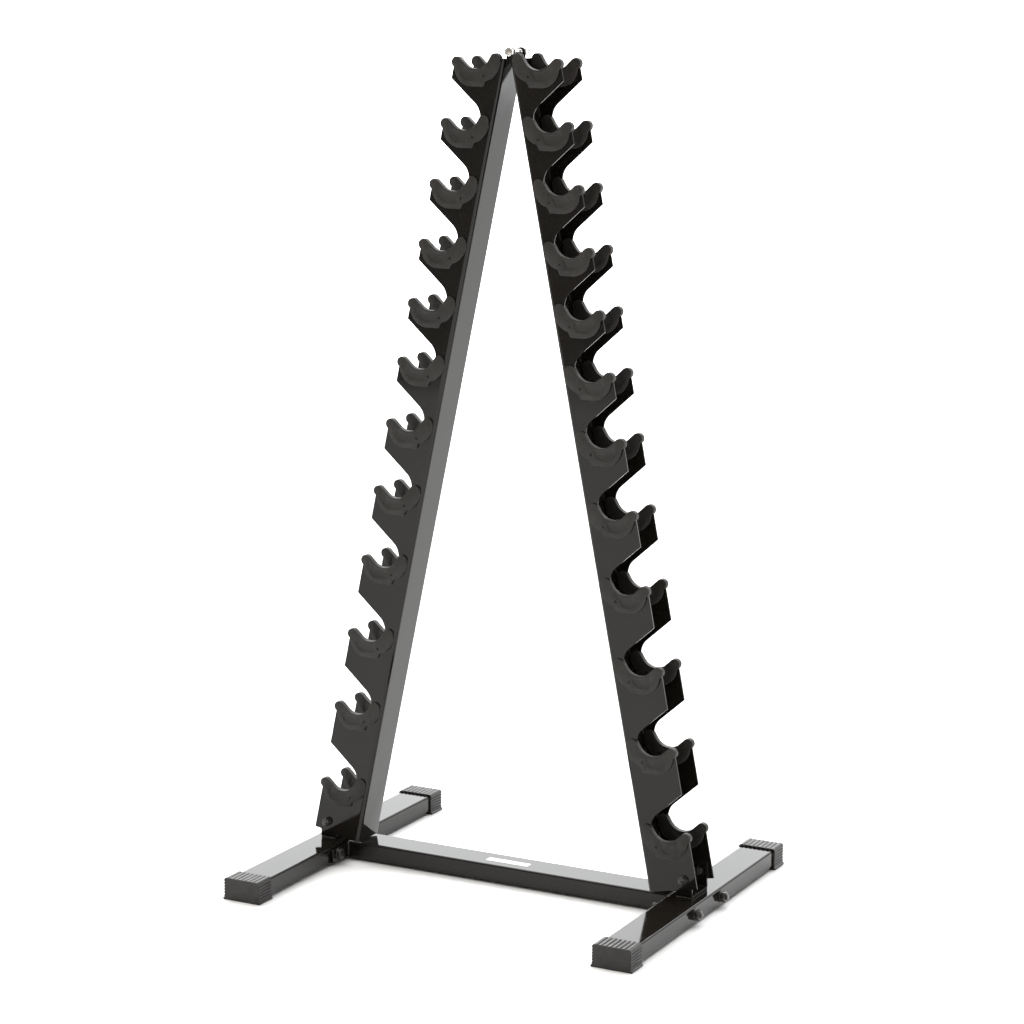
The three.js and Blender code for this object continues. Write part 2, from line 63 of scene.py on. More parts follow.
# Sizes that several sub-assemblies share.
LEAN = 0.202
CHANNEL_CENTRE_Y = -4 * MM
SKIRT_DROP = 28 * MM
OUTER_HORN = (33.8 * MM, 9.8 * MM)
CLEVIS_BOLT = (332.5 * MM, 65 * MM)
CLEVIS_HOLE = 4.3 * MM
FOOT_BOLT_Y = (-60 * MM, 45 * MM)
FOOT_BOLT_Z = 19 * MM
FOOT_HOLE = 5.3 * MM
TUBE_CORNER = 3.6 * MM
TUBE_WALL = 2 * MM
PLATE_SHEET = 5 * MM


class Half(Enum):
    """One of two opposite halves of the rack, with the sign of its direction."""

    @property
    def word(self) -> str:
        """The half's name inside a piece's name."""
        return self.name.lower()


class Side(Half):
    """The left and the right of the rack, along X."""

    LEFT = -1
    RIGHT = 1


class Face(Half):
    """The front and the rear of the rack, along Y."""

    FRONT = -1
    REAR = 1


class Solids(Enum):
    """How one solid acts on another."""

    ADD = "UNION"
    CUT = "DIFFERENCE"
    SHARE = "INTERSECT"


class Change(Enum):
    """How a value goes from one end of its range to the other."""

    EVEN = "LINEAR"
    EASED = "SMOOTHSTEP"


# ---------------------------------------------------------------- modelling


def deselect_all() -> None:
    """Leaves nothing selected, so that an operator acts only on new work."""
    bpy.ops.object.select_all(action="DESELECT")


def make_active(obj: bpy.types.Object) -> None:
    """Selects one object alone and makes it the active one.

    Args:
        obj: The object that the next operators act on.
    """
    deselect_all()
    obj.select_set(True)
    bpy.context.view_layer.objects.active = obj


def edit(obj: bpy.types.Object) -> None:
    """Opens an object in edit mode with all of its vertices selected.

    Args:
        obj: The object to open.
    """
    make_active(obj)
    bpy.ops.object.mode_set(mode="EDIT")
    bpy.ops.mesh.select_mode(type="VERT")
    bpy.ops.mesh.select_all(action="SELECT")


def leave_edit() -> None:
    """Goes back to object mode."""
    bpy.ops.object.mode_set(mode="OBJECT")


def turn_outwards(obj: bpy.types.Object) -> None:
    """Merges doubled vertices and makes every face point out of the solid.

    Args:
        obj: The solid.
    """
    edit(obj)
    bpy.ops.mesh.remove_doubles(threshold=MERGE_DISTANCE)
    bpy.ops.mesh.normals_make_consistent(inside=False)
    leave_edit()


def settle(name: str) -> bpy.types.Object:
    """Names a new primitive and moves its place and size into its mesh.

    Args:
        name: The object's name.

    Returns:
        The primitive.
    """
    primitive = bpy.context.object
    primitive.name = name
    bpy.ops.object.transform_apply(location=True, rotation=True, scale=True)
    return primitive


def block(name: str, low: Vector, high: Vector) -> bpy.types.Object:
    """A plain rectangular solid.

    Args:
        name: The object's name.
        low: Its lowest corner.
        high: Its highest corner.

    Returns:
        The solid.
    """
    deselect_all()
    bpy.ops.mesh.primitive_cube_add(size=1, location=(low + high) / 2, scale=high - low)
    return settle(name)


def apply_modifier(obj: bpy.types.Object, kind: str, **settings: object) -> None:
    """Adds a modifier, sets it and applies it to the mesh.

    Args:
        obj: The object to change.
        kind: The modifier's type, such as "BEVEL".
        settings: The modifier's own values by name.
    """
    make_active(obj)
    modifier = obj.modifiers.new(kind.title(), kind)
    for name, value in settings.items():
        setattr(modifier, name, value)
    bpy.ops.object.modifier_apply(modifier=modifier.name)


def combine(body: bpy.types.Object, tool: bpy.types.Object, operation: Solids) -> None:
    """Adds another solid, cuts it out or keeps what both share. The other one is used up.

    Args:
        body: The solid that is kept.
        tool: The solid that is used up.
        operation: How the two act on each other.
    """
    apply_modifier(body, "BOOLEAN", operation=operation.value, object=tool, solver="EXACT")
    bpy.data.objects.remove(tool)


def smooth(body: bpy.types.Object, limit: float = 35) -> None:
    """Shades a solid smoothly, except across edges that turn by more than the limit."""
    make_active(body)
    bpy.ops.object.shade_smooth_by_angle(angle=math.radians(limit))


def soften(body: bpy.types.Object, width: float, segments: int = 2, limit: float = 40,
           clamped: bool = True) -> None:
    """Rounds a solid's sharp edges and shades the rest of it smoothly.

    Args:
        body: The solid to round.
        width: How far the rounding reaches from each edge.
        segments: Faces across the rounding.
        limit: The smallest angle, in degrees, that counts as a sharp edge.
        clamped: Whether the rounding shrinks where edges lie close together.
    """
    apply_modifier(
        body, "BEVEL", width=width, segments=segments, limit_method="ANGLE",
        angle_limit=math.radians(limit), use_clamp_overlap=clamped, miter_outer="MITER_ARC",
    )
    smooth(body, limit - 5)


def flatten_normals(body: bpy.types.Object) -> None:
    """Keeps large flat faces flat in their shading beside small rounded ones."""
    apply_modifier(body, "WEIGHTED_NORMAL", keep_sharp=True, weight=100)


def copy_of(master: bpy.types.Object, name: str, place: Matrix) -> bpy.types.Object:
    """Copies a finished piece with a mesh of its own.

    Args:
        master: The piece to copy.
        name: The copy's name.
        place: Where the copy goes, as a matrix applied to its mesh.

    Returns:
        The copy, at the origin with its place in its mesh.
    """
    twin = bpy.data.objects.new(name, master.data.copy())
    bpy.context.scene.collection.objects.link(twin)
    twin.data.transform(place)
    if place.determinant() < 0:
        twin.data.flip_normals()
    return twin


def discard(*masters: bpy.types.Object) -> None:
    """Removes masters that only served to be copied."""
    for master in masters:
        bpy.data.objects.remove(master)


def mirror_x() -> Matrix:
    """The mirror across the plane between the rack's two halves."""
    return Matrix.Scale(-1, 4, ALONG_X)


def join(name: str, pieces: list[bpy.types.Object]) -> bpy.types.Object:
    """Joins several solids into one object.

    Args:
        name: The name of the result.
        pieces: The solids, of which the first one stays.

    Returns:
        The joined object.
    """
    make_active(pieces[0])
    for piece in pieces:
        piece.select_set(True)
    bpy.ops.object.join()
    pieces[0].name = name
    return pieces[0]


class Sketch:
    """A flat outline drawn in edit mode: straight runs are extruded, round ones are spun."""

    def __init__(self, name: str, start: Vector, across: Vector, up: Vector) -> None:
        """Puts the pen down.

        Args:
            name: The name of the object that the outline becomes.
            start: The first point, in the sketch's own two coordinates.
            across: The direction of the first coordinate.
            up: The direction of the second coordinate.
        """
        self.across = across
        self.up = up
        self.pen = Vector(start)
        self.start = Vector(start)
        deselect_all()
        bpy.ops.mesh.primitive_plane_add(size=MM, location=self._in_space(self.pen))
        self.obj = settle(name)
        edit(self.obj)
        bpy.ops.mesh.merge(type="CENTER")

    def _in_space(self, point: Vector) -> Vector:
        """The place in space of a point of the sketch."""
        return self.across * point[0] + self.up * point[1]

    def line(self, *points: Vector | tuple[float, float]) -> "Sketch":
        """Draws straight runs to the given points.

        Args:
            points: The points, in order.

        Returns:
            The sketch itself, so that calls can follow each other.
        """
        for point in points:
            step = Vector(point) - self.pen
            if step.length > 0.001 * MM:
                move = self._in_space(step)
                bpy.ops.mesh.extrude_region_move(TRANSFORM_OT_translate={"value": move})
                self.pen = Vector(point)
        return self

    def arc(self, centre: Vector | tuple[float, float], turn: float, steps: int) -> "Sketch":
        """Draws a round run about a centre, starting from the pen.

        Args:
            centre: The arc's centre.
            turn: The angle turned through, positive anticlockwise.
            steps: The number of short edges.

        Returns:
            The sketch itself.
        """
        middle = Vector(centre)
        bpy.ops.mesh.spin(
            steps=steps, angle=turn, center=self._in_space(middle),
            axis=self.up.cross(self.across),
        )
        self.pen = middle + Matrix.Rotation(turn, 2) @ (self.pen - middle)
        return self

    def arc_between(self, centre: Vector | tuple[float, float], radius: float, first: float,
                    last: float, steps: int) -> "Sketch":
        """Draws a line to an arc's start and then the arc.

        Args:
            centre: The arc's centre.
            radius: Its radius.
            first: The angle at which it starts.
            last: The angle at which it ends.
            steps: The number of short edges.

        Returns:
            The sketch itself.
        """
        begin = Vector(centre) + radius * Vector((math.cos(first), math.sin(first)))
        return self.line(begin).arc(centre, last - first, steps)

    def extruded(self, run: Vector) -> bpy.types.Object:
        """Closes the outline, fills it and extrudes it into a solid.

        Args:
            run: The direction and length of the extrusion.

        Returns:
            The solid.
        """
        self.line(self.start)
        bpy.ops.mesh.select_all(action="SELECT")
        bpy.ops.mesh.remove_doubles(threshold=MERGE_DISTANCE)
        bpy.ops.mesh.edge_face_add()
        bpy.ops.mesh.extrude_region_move(TRANSFORM_OT_translate={"value": run})
        leave_edit()
        turn_outwards(self.obj)
        return self.obj


def cross_tangent(first: Vector, first_radius: float, second: Vector, second_radius: float,
                  side: int) -> float:
    """Where a straight line touches two circles that it passes between.

    Args:
        first: The first circle's centre.
        first_radius: Its radius.
        second: The second circle's centre.
        second_radius: Its radius.
        side: 1 or -1, for the line's side.

    Returns:
        The angle on the first circle. The second circle's is the opposite one.
    """
    between = second - first
    opening = math.acos((first_radius + second_radius) / between.length)
    return math.atan2(between.y, between.x) + side * opening


def circles_meet(first: Vector, first_radius: float, second: Vector, second_radius: float,
                 side: int) -> Vector:
    """A point where two circles cross.

    Args:
        first: The first circle's centre.
        first_radius: Its radius.
        second: The second circle's centre.
        second_radius: Its radius.
        side: 1 or -1, for one of the two points.

    Returns:
        The point.
    """
    between = second - first
    span = between.length
    along = (span * span + first_radius ** 2 - second_radius ** 2) / (2 * span)
    aside = math.sqrt(first_radius ** 2 - along ** 2)
    ahead = between / span
    return first + ahead * along + side * aside * Vector((-ahead.y, ahead.x))


def angle_at(centre: Vector, point: Vector) -> float:
    """The angle of a point as seen from a centre."""
    return math.atan2(point.y - centre.y, point.x - centre.x)


def rounded_bar(name: str, low: Vector, high: Vector, along: Vector,
                corner: float) -> bpy.types.Object:
    """A solid rectangular bar with its long edges rounded.

    Args:
        name: The object's name.
        low: The lowest corner of its box.
        high: The highest corner of its box.
        along: The direction that it runs in.
        corner: The radius of its long edges.

    Returns:
        The bar.
    """
    bar = block(name, low, high)
    for edge in bar.data.edges:
        ends = [bar.data.vertices[i].co for i in edge.vertices]
        edge.select = abs((ends[1] - ends[0]).normalized().dot(along)) > 0.99
    edit_chosen_edges(bar)
    bpy.ops.mesh.bevel(offset=corner, segments=6, affect="EDGES")
    leave_edit()
    return bar


def rounded_tube(name: str, low: Vector, high: Vector, along: Vector, corner: float,
                 wall: float) -> bpy.types.Object:
    """A rectangular tube with round corners, open at both ends.

    Args:
        name: The object's name.
        low: The lowest corner of its box.
        high: The highest corner of its box.
        along: The direction that it runs in.
        corner: The outer corner radius.
        wall: The wall's thickness.

    Returns:
        The tube.
    """
    tube = rounded_bar(name, low, high, along, corner)
    inset = Vector((wall, wall, wall)) - 3 * wall * along
    bore = rounded_bar("bore", low + inset, high - inset, along, corner - wall)
    combine(tube, bore, Solids.CUT)
    return tube


def edit_chosen_edges(obj: bpy.types.Object) -> None:
    """Opens edit mode in edge selection, keeping the edges chosen in object mode.

    Args:
        obj: The object to open.
    """
    make_active(obj)
    chosen = [edge.select for edge in obj.data.edges]
    obj.data.vertices.foreach_set("select", [False] * len(obj.data.vertices))
    obj.data.polygons.foreach_set("select", [False] * len(obj.data.polygons))
    obj.data.edges.foreach_set("select", chosen)
    bpy.context.tool_settings.mesh_select_mode = (False, True, False)
    bpy.ops.object.mode_set(mode="EDIT")


def drill(body: bpy.types.Object, radius: float, centre: Vector, along: Vector,
          reach: float) -> None:
    """Drills a round hole through a solid.

    Args:
        body: The solid.
        radius: The hole's radius.
        centre: The middle of the drill.
        along: The drill's direction.
        reach: Half the drill's length.
    """
    turn = ALONG_Z.rotation_difference(along).to_euler()
    deselect_all()
    bpy.ops.mesh.primitive_cylinder_add(
        vertices=32, radius=radius, depth=2 * reach, location=centre, rotation=turn,
    )
    combine(body, settle("bit"), Solids.CUT)


# ------------------------------------------------------------------- finishes


class ShaderTree:
    """A shader node tree, laid out by short calls."""

    def __init__(self, tree: bpy.types.NodeTree) -> None:
        """Takes the tree that the nodes go into."""
        self.tree = tree

    def feed(self, target: bpy.types.NodeSocket, value: object) -> None:
        """Links a socket to an input, or sets the input to a plain value.

        Args:
            target: The input.
            value: The socket or the plain value.
        """
        if isinstance(value, bpy.types.NodeSocket):
            self.tree.links.new(value, target)
        else:
            target.default_value = value

    def node(self, kind: str, inputs: dict[str | int, object],
             **settings: object) -> bpy.types.Node:
        """Adds a shader node.

        Args:
            kind: The node's type without its "ShaderNode" start.
            inputs: Values or sockets, by input name or number.
            settings: The node's own settings.

        Returns:
            The node.
        """
        node = self.tree.nodes.new("ShaderNode" + kind)
        for name, value in settings.items():
            setattr(node, name, value)
        for name, value in inputs.items():
            self.feed(node.inputs[name], value)
        return node

    def remap(self, value: bpy.types.NodeSocket, source: tuple[float, float],
              target: tuple[float, float], change: Change = Change.EVEN) -> bpy.types.NodeSocket:
        """Stretches a range of values onto another, without going past its ends.

        Args:
            value: The value to stretch.
            source: The range that it comes in.
            target: The range that it is stretched onto.
            change: How it goes from one end to the other.

        Returns:
            The stretched value.
        """
        inputs = {"Value": value, "From Min": source[0], "From Max": source[1],
                  "To Min": target[0], "To Max": target[1]}
        settings = {"clamp": True, "interpolation_type": change.value}
        return self.node("MapRange", inputs, **settings).outputs["Result"]

    def blend(self, share: bpy.types.NodeSocket, first: object,
              second: object) -> bpy.types.NodeSocket:
        """Blends two colours by a pattern."""
        mix = self.node("MixRGB", {"Fac": share, "Color1": first, "Color2": second})
        return mix.outputs["Color"]

    def multiply(self, first: object, second: object) -> bpy.types.NodeSocket:
        """The product of two sockets or numbers."""
        return self.node("Math", {0: first, 1: second}, operation="MULTIPLY").outputs["Value"]

    def subtract(self, first: object, second: object) -> bpy.types.NodeSocket:
        """The difference of two sockets or numbers."""
        return self.node("Math", {0: first, 1: second}, operation="SUBTRACT").outputs["Value"]


class Recipe(ShaderTree):
    """One material's shader nodes, laid out around a Principled BSDF."""

    def __init__(self, name: str) -> None:
        """Starts an empty material.

        Args:
            name: The material's name.
        """
        self.material = bpy.data.materials.new(name)
        self.material.use_nodes = True
        super().__init__(self.material.node_tree)
        self.shader = self.tree.nodes["Principled BSDF"]
        self.place = self.tree.nodes.new("ShaderNodeTexCoord").outputs["Object"]

    def noise(self, scale: float, detail: float = 3,
              roughness: float = 0.5) -> bpy.types.NodeSocket:
        """Adds a noise pattern in the object's own coordinates.

        Args:
            scale: Blotches per metre.
            detail: How many finer layers it has.
            roughness: The strength of the finer layers.

        Returns:
            The pattern's value from 0 to 1.
        """
        inputs = {"Vector": self.place, "Scale": scale, "Detail": detail, "Roughness": roughness}
        return self.node("TexNoise", inputs).outputs["Fac"]

    def patches(self, pattern: bpy.types.NodeSocket, span: tuple[float, float],
                ground: tuple[float, float, float], patch: tuple[float, float, float],
                most: float = 1) -> bpy.types.NodeSocket:
        """Spreads one colour over another in soft patches.

        Args:
            pattern: The noise that places the patches.
            span: The noise values where a patch starts and where it is full.
            ground: The colour between the patches.
            patch: The patches' colour.
            most: How strong a full patch is.

        Returns:
            The mixed colour.
        """
        return self.blend(self.remap(pattern, span, (0, most)), opaque(ground), opaque(patch))

    def bump(self, height: bpy.types.NodeSocket, strength: float, distance: float,
             under: bpy.types.NodeSocket | None = None) -> bpy.types.NodeSocket:
        """Turns a pattern into relief.

        Args:
            height: The pattern.
            strength: How strongly it shows, from 0 to 1.
            distance: The relief's depth in metres.
            under: Another relief below this one.

        Returns:
            The normal to shade with.
        """
        inputs = {"Height": height, "Strength": strength, "Distance": distance}
        if under is not None:
            inputs["Normal"] = under
        return self.node("Bump", inputs).outputs["Normal"]

    def finish(self, **sockets: object) -> bpy.types.Material:
        """Feeds the shader and returns the material.

        Args:
            sockets: Values or sockets by input name, with _ for a space.

        Returns:
            The finished material.
        """
        for name, value in sockets.items():
            self.feed(self.shader.inputs[name.replace("_", " ")], value)
        return self.material


def opaque(colour: tuple[float, float, float]) -> tuple[float, float, float, float]:
    """A colour with full opacity."""
    return (*colour, 1.0)


@dataclass(frozen=True)
class GlossPaint:
    """Sprayed gloss black on steel, with a faint orange peel and a little dust."""

    name: str = "frame_paint"
    colour: tuple[float, float, float] = (0.0058, 0.0048, 0.0038)
    cloudy: tuple[float, float, float] = (0.0095, 0.0082, 0.0068)
    dust: tuple[float, float, float] = (0.09, 0.085, 0.078)
    smooth: float = 0.05
    hazy: float = 0.12
    peel: float = 0.012 * MM
    cloud_scale: float = 9
    dust_scale: float = 900
    dust_span: tuple[float, float] = (0.735, 0.77)
    haze_scale: float = 28
    wave_scale: float = 30
    peel_scale: float = 520
    refraction: float = 1.37

    def build(self) -> bpy.types.Material:
        """Makes the material.

        Returns:
            The material.
        """
        recipe = Recipe(self.name)
        clouds = recipe.noise(self.cloud_scale, 4)
        tone = recipe.patches(clouds, (0.35, 0.7), self.colour, self.cloudy)
        specks = recipe.remap(recipe.noise(self.dust_scale, 2), self.dust_span, (0, 0.5))
        tone = recipe.blend(specks, tone, opaque(self.dust))
        haze = recipe.remap(
            recipe.noise(self.haze_scale, 5), (0.35, 0.75), (self.smooth, self.hazy),
        )
        wave = recipe.bump(recipe.noise(self.wave_scale, 2), 0.2, 2 * self.peel)
        relief = recipe.bump(recipe.noise(self.peel_scale, 2), 0.3, self.peel, wave)
        return recipe.finish(
            Base_Color=tone, Roughness=haze, Normal=relief, IOR=self.refraction,
        )


@dataclass(frozen=True)
class MouldedRubber:
    """Matte rubber with a fine moulded grain, paler where it is handled."""

    name: str
    colour: tuple[float, float, float]
    rubbed: tuple[float, float, float]
    roughness: float = 0.55
    uneven: float = 0.08
    gloss: float = 0.34
    grain: float = 0.12 * MM
    patch_scale: float = 35
    shine_scale: float = 120
    flow_scale: float = 90
    grain_scale: float = 1500

    def build(self) -> bpy.types.Material:
        """Makes the material.

        Returns:
            The material.
        """
        recipe = Recipe(self.name)
        wear = recipe.noise(self.patch_scale, 5, 0.6)
        tone = recipe.patches(wear, (0.38, 0.68), self.colour, self.rubbed)
        shine = recipe.remap(
            recipe.noise(self.shine_scale, 4), (0.3, 0.7),
            (self.roughness - self.uneven, self.roughness + self.uneven),
        )
        flow = recipe.bump(recipe.noise(self.flow_scale), 0.2, 4 * self.grain)
        relief = recipe.bump(recipe.noise(self.grain_scale), 0.35, self.grain, flow)
        return recipe.finish(
            Base_Color=tone, Roughness=shine, Normal=relief, Specular_IOR_Level=self.gloss,
        )


@dataclass(frozen=True)
class ZincPlate:
    """Bright zinc plating with a faint warm and cool cast."""

    name: str = "zinc"
    cool: tuple[float, float, float] = (0.72, 0.75, 0.8)
    warm: tuple[float, float, float] = (0.78, 0.74, 0.66)
    shine: tuple[float, float] = (0.16, 0.38)
    grain: float = 0.05 * MM
    cast_scale: float = 160
    shine_scale: float = 420
    grain_scale: float = 1400

    def build(self) -> bpy.types.Material:
        """Makes the material.

        Returns:
            The material.
        """
        recipe = Recipe(self.name)
        tone = recipe.patches(
            recipe.noise(self.cast_scale, 4), (0.35, 0.65), self.cool, self.warm,
        )
        shine = recipe.remap(recipe.noise(self.shine_scale), (0.3, 0.7), self.shine)
        relief = recipe.bump(recipe.noise(self.grain_scale, 2), 0.25, self.grain)
        return recipe.finish(Base_Color=tone, Roughness=shine, Normal=relief, Metallic=1.0)


@dataclass(frozen=True)
class BlackOxide:
    """Blackened fastener steel, worn to a dull metal on its edges and faces."""

    name: str = "black_oxide"
    colour: tuple[float, float, float] = (0.016, 0.0145, 0.013)
    worn: tuple[float, float, float] = (0.12, 0.11, 0.1)
    wear: float = 0.8
    shine: tuple[float, float] = (0.18, 0.42)
    gloss: float = 0.7
    grain: float = 0.06 * MM
    wear_scale: float = 260
    shine_scale: float = 500
    grain_scale: float = 1200

    def build(self) -> bpy.types.Material:
        """Makes the material.

        Returns:
            The material.
        """
        recipe = Recipe(self.name)
        tone = recipe.patches(
            recipe.noise(self.wear_scale, 5), (0.55, 0.75), self.colour, self.worn, self.wear,
        )
        shine = recipe.remap(recipe.noise(self.shine_scale), (0.3, 0.7), self.shine)
        relief = recipe.bump(recipe.noise(self.grain_scale, 2), 0.3, self.grain)
        return recipe.finish(
            Base_Color=tone, Roughness=shine, Normal=relief, Specular_IOR_Level=self.gloss,
        )


@dataclass(frozen=True)
class PaintedWeld:
    """Weld ripples under the same black paint, brighter where it pools."""

    name: str = "painted_weld"
    colour: tuple[float, float, float] = (0.012, 0.0105, 0.009)
    pale: tuple[float, float, float] = (0.035, 0.032, 0.028)
    shine: tuple[float, float] = (0.08, 0.25)
    spatter: float = 0.25 * MM
    pool_scale: float = 300
    shine_scale: float = 420
    spatter_scale: float = 700

    def build(self) -> bpy.types.Material:
        """Makes the material.

        Returns:
            The material.
        """
        recipe = Recipe(self.name)
        tone = recipe.patches(
            recipe.noise(self.pool_scale, 4), (0.4, 0.7), self.colour, self.pale,
        )
        shine = recipe.remap(recipe.noise(self.shine_scale), (0.3, 0.7), self.shine)
        relief = recipe.bump(recipe.noise(self.spatter_scale, 4), 0.5, self.spatter)
        return recipe.finish(Base_Color=tone, Roughness=shine, Normal=relief)


@dataclass(frozen=True)
class LabelFilm:
    """A blank white adhesive label with a satin face."""

    name: str = "label_film"
    colour: tuple[float, float, float] = (0.82, 0.82, 0.8)
    shade: tuple[float, float, float] = (0.72, 0.72, 0.7)
    satin: float = 0.35
    grain: float = 0.05 * MM
    shade_scale: float = 80
    grain_scale: float = 700

    def build(self) -> bpy.types.Material:
        """Makes the material.

        Returns:
            The material.
        """
        recipe = Recipe(self.name)
        tone = recipe.blend(
            recipe.noise(self.shade_scale, 4), opaque(self.colour), opaque(self.shade),
        )
        relief = recipe.bump(recipe.noise(self.grain_scale), 0.2, self.grain)
        return recipe.finish(Base_Color=tone, Roughness=self.satin, Normal=relief)


@dataclass(frozen=True)
class StudioFloor:
    """A pale floor with a faint gloss."""

    name: str = "studio_floor"
    colour: tuple[float, float, float] = (0.86, 0.86, 0.86)
    roughness: float = 0.3
    gloss: float = 0.35

    def build(self) -> bpy.types.Material:
        """Makes the material.

        Returns:
            The material.
        """
        return Recipe(self.name).finish(
            Base_Color=opaque(self.colour), Roughness=self.roughness,
            Specular_IOR_Level=self.gloss,
        )


class Finishes:
    """Every material that the rack is dressed in."""

    def __init__(self) -> None:
        """Makes each material once."""
        self.paint = GlossPaint().build()
        self.saddle_rubber = MouldedRubber(
            "saddle_rubber", (0.0205, 0.0182, 0.016), (0.029, 0.0262, 0.0235),
        ).build()
        self.cap_rubber = MouldedRubber(
            "cap_rubber", (0.017, 0.0155, 0.014), (0.03, 0.0275, 0.025), 0.38,
        ).build()
        self.zinc = ZincPlate().build()
        self.black_oxide = BlackOxide().build()
        self.weld = PaintedWeld().build()
        self.label = LabelFilm().build()
        self.floor = StudioFloor().build()


def dress(piece: bpy.types.Object, material: bpy.types.Material, slot: str,
          *nodes: str) -> bpy.types.Object:
    """Gives a finished piece its material and ties it to the frame.

    Args:
        piece: The piece, in place.
        material: Its material.
        slot: The record's material slot, which is not used.
        nodes: The frame nodes that it stands for.

    Returns:
        The piece.
    """
    piece.data.materials.clear()
    piece.data.materials.append(material)
    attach(piece, "root")
    if nodes:
        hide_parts(*nodes)
    LOG.info("%s: %d faces", piece.name, len(piece.data.polygons))
    return piece


# ------------------------------------------------------------------- saddles


@dataclass
class SaddleSet:
    """The moulded rubber saddles that clip over the notches, two flanges to each upright."""

    seat_radius: float = 26.5 * MM
    horn_radius: float = 8.9 * MM
    inner_reach: float = 43 * MM
    outer_horn: tuple[float, float] = OUTER_HORN
    inner_horn: tuple[float, float] = (-35 * MM, 16 * MM)
    skirt_drop: float = SKIRT_DROP
    skirt_centre: tuple[float, float] = (7 * MM, 2.5 * MM)
    belly_centre: tuple[float, float] = (-11 * MM, 13 * MM)
    belly_end: float = math.radians(-116)
    heel_centre: tuple[float, float] = (-12 * MM, -24 * MM)
    heel_top: tuple[float, float] = (-18.6 * MM, -19.2 * MM)
    heel_start: float = math.pi + 0.05
    thickness: float = 10 * MM
    rounding: float = 1.7 * MM
    recess_depth: float = 0.7 * MM
    recess_rim: float = 4.5 * MM
    recess_radius: float = 21.5 * MM
    recess_span: tuple[float, float] = (math.radians(-125), math.radians(-28))
    recess_ends: tuple[float, float] = (9 * MM, 21 * MM)
    dimple: tuple[float, float] = (-15.5 * MM, -11 * MM)
    dimple_radius: float = 1.9 * MM
    dimple_depth: float = 1.6 * MM
    slot_width: float = 3.4 * MM
    slot_rim: float = 3.3 * MM
    slot_step: float = 16.8 * MM
    slot_wall: float = -26.2 * MM
    slot_tip: float = 5.2 * MM
    slot_nose: float = 2.4 * MM

    def _bowl(self) -> Vector:
        """The centre of the round seat, above the seat's bottom."""
        return Vector((0, self.seat_radius))

    def _centred(self, sketch: Sketch, thickness: float) -> bpy.types.Object:
        """Extrudes an outline to both sides of the flange's middle.

        Args:
            sketch: The outline, drawn along X and Z.
            thickness: The solid's full thickness.

        Returns:
            The solid.
        """
        solid = sketch.extruded(ALONG_Y * thickness)
        solid.data.transform(Matrix.Translation(-ALONG_Y * thickness / 2))
        return solid

    def _crescent(self) -> bpy.types.Object:
        """The crescent with its skirt.

        Returns:
            The solid at full thickness, with sharp edges.
        """
        bowl = self._bowl()
        outer = Vector(self.outer_horn)
        inner = Vector(self.inner_horn)
        skirt = Vector(self.skirt_centre)
        skirt_radius = self.skirt_drop + skirt.y
        belly = Vector(self.belly_centre)
        belly_radius = (inner - belly).length + self.horn_radius
        belly_start = angle_at(belly, inner)
        heel = Vector(self.heel_centre)
        neck = circles_meet(skirt, skirt_radius, outer, self.horn_radius, -1)
        outer_end = cross_tangent(outer, self.horn_radius, bowl, self.seat_radius, -1)
        inner_end = cross_tangent(bowl, self.seat_radius, inner, self.horn_radius, 1)
        sketch = Sketch("saddle_master", skirt - Vector((0, skirt_radius)), ALONG_X, ALONG_Z)
        sketch.arc(skirt, angle_at(skirt, neck) + QUARTER, 14)
        sketch.arc(outer, outer_end - angle_at(outer, neck), 14)
        sketch.arc_between(bowl, self.seat_radius, outer_end - math.pi, inner_end, 22)
        sketch.arc_between(inner, self.horn_radius, inner_end + math.pi, belly_start, 14)
        sketch.arc_between(belly, belly_radius, belly_start, self.belly_end + FULL_TURN, 10)
        sketch.line(self.heel_top)
        sketch.arc_between(heel, self.skirt_drop + heel.y, self.heel_start, 3 * QUARTER, 5)
        return self._centred(sketch, self.thickness)

    def _recess(self, face: Face) -> bpy.types.Object:
        """The shallow panel that is sunk into the skirt.

        Args:
            face: Which face of the saddle it is sunk into.

        Returns:
            The solid to cut out.
        """
        bowl = self._bowl()
        rim = self.seat_radius + self.recess_rim
        left, right = (math.asin(reach / rim) for reach in self.recess_ends)
        start_angle = -QUARTER - left
        start = bowl + rim * Vector((math.cos(start_angle), math.sin(start_angle)))
        sketch = Sketch("recess", start, ALONG_X, ALONG_Z)
        sketch.arc_between(self.skirt_centre, self.recess_radius, *self.recess_span, 12)
        sketch.arc_between(bowl, rim, right - QUARTER, start_angle, 10)
        panel = sketch.extruded(ALONG_Y * 2 * self.recess_depth)
        surface = face.value * self.thickness / 2 - self.recess_depth
        panel.data.transform(Matrix.Translation(ALONG_Y * surface))
        return panel

    def _slot(self) -> bpy.types.Object:
        """The steel that the saddle clips over, grown by a hair's clearance.

        Returns:
            The solid to cut out.
        """
        bowl = self._bowl()
        outer = Vector(self.outer_horn)
        rim = self.seat_radius + self.slot_rim
        outer_end = cross_tangent(outer, self.slot_tip, bowl, rim, -1)
        step_angle = math.asin((bowl.y - self.slot_step) / rim) - math.pi
        edge = outer + Vector((self.slot_tip + self.slot_nose, 0))
        low = -2 * self.skirt_drop
        top = 2 * self.seat_radius
        far = -3 * rim
        start = Vector((edge.x + LEAN * (edge.y - low), low))
        sketch = Sketch("slot", start, ALONG_X, ALONG_Z)
        sketch.line(edge)
        sketch.arc_between(outer, self.slot_tip, 0, outer_end, 6)
        sketch.arc_between(bowl, rim, outer_end - math.pi, step_angle, 20)
        sketch.line((self.slot_wall, self.slot_step), (self.slot_wall, top), (far, top), (far, low))
        return self._centred(sketch, self.slot_width)

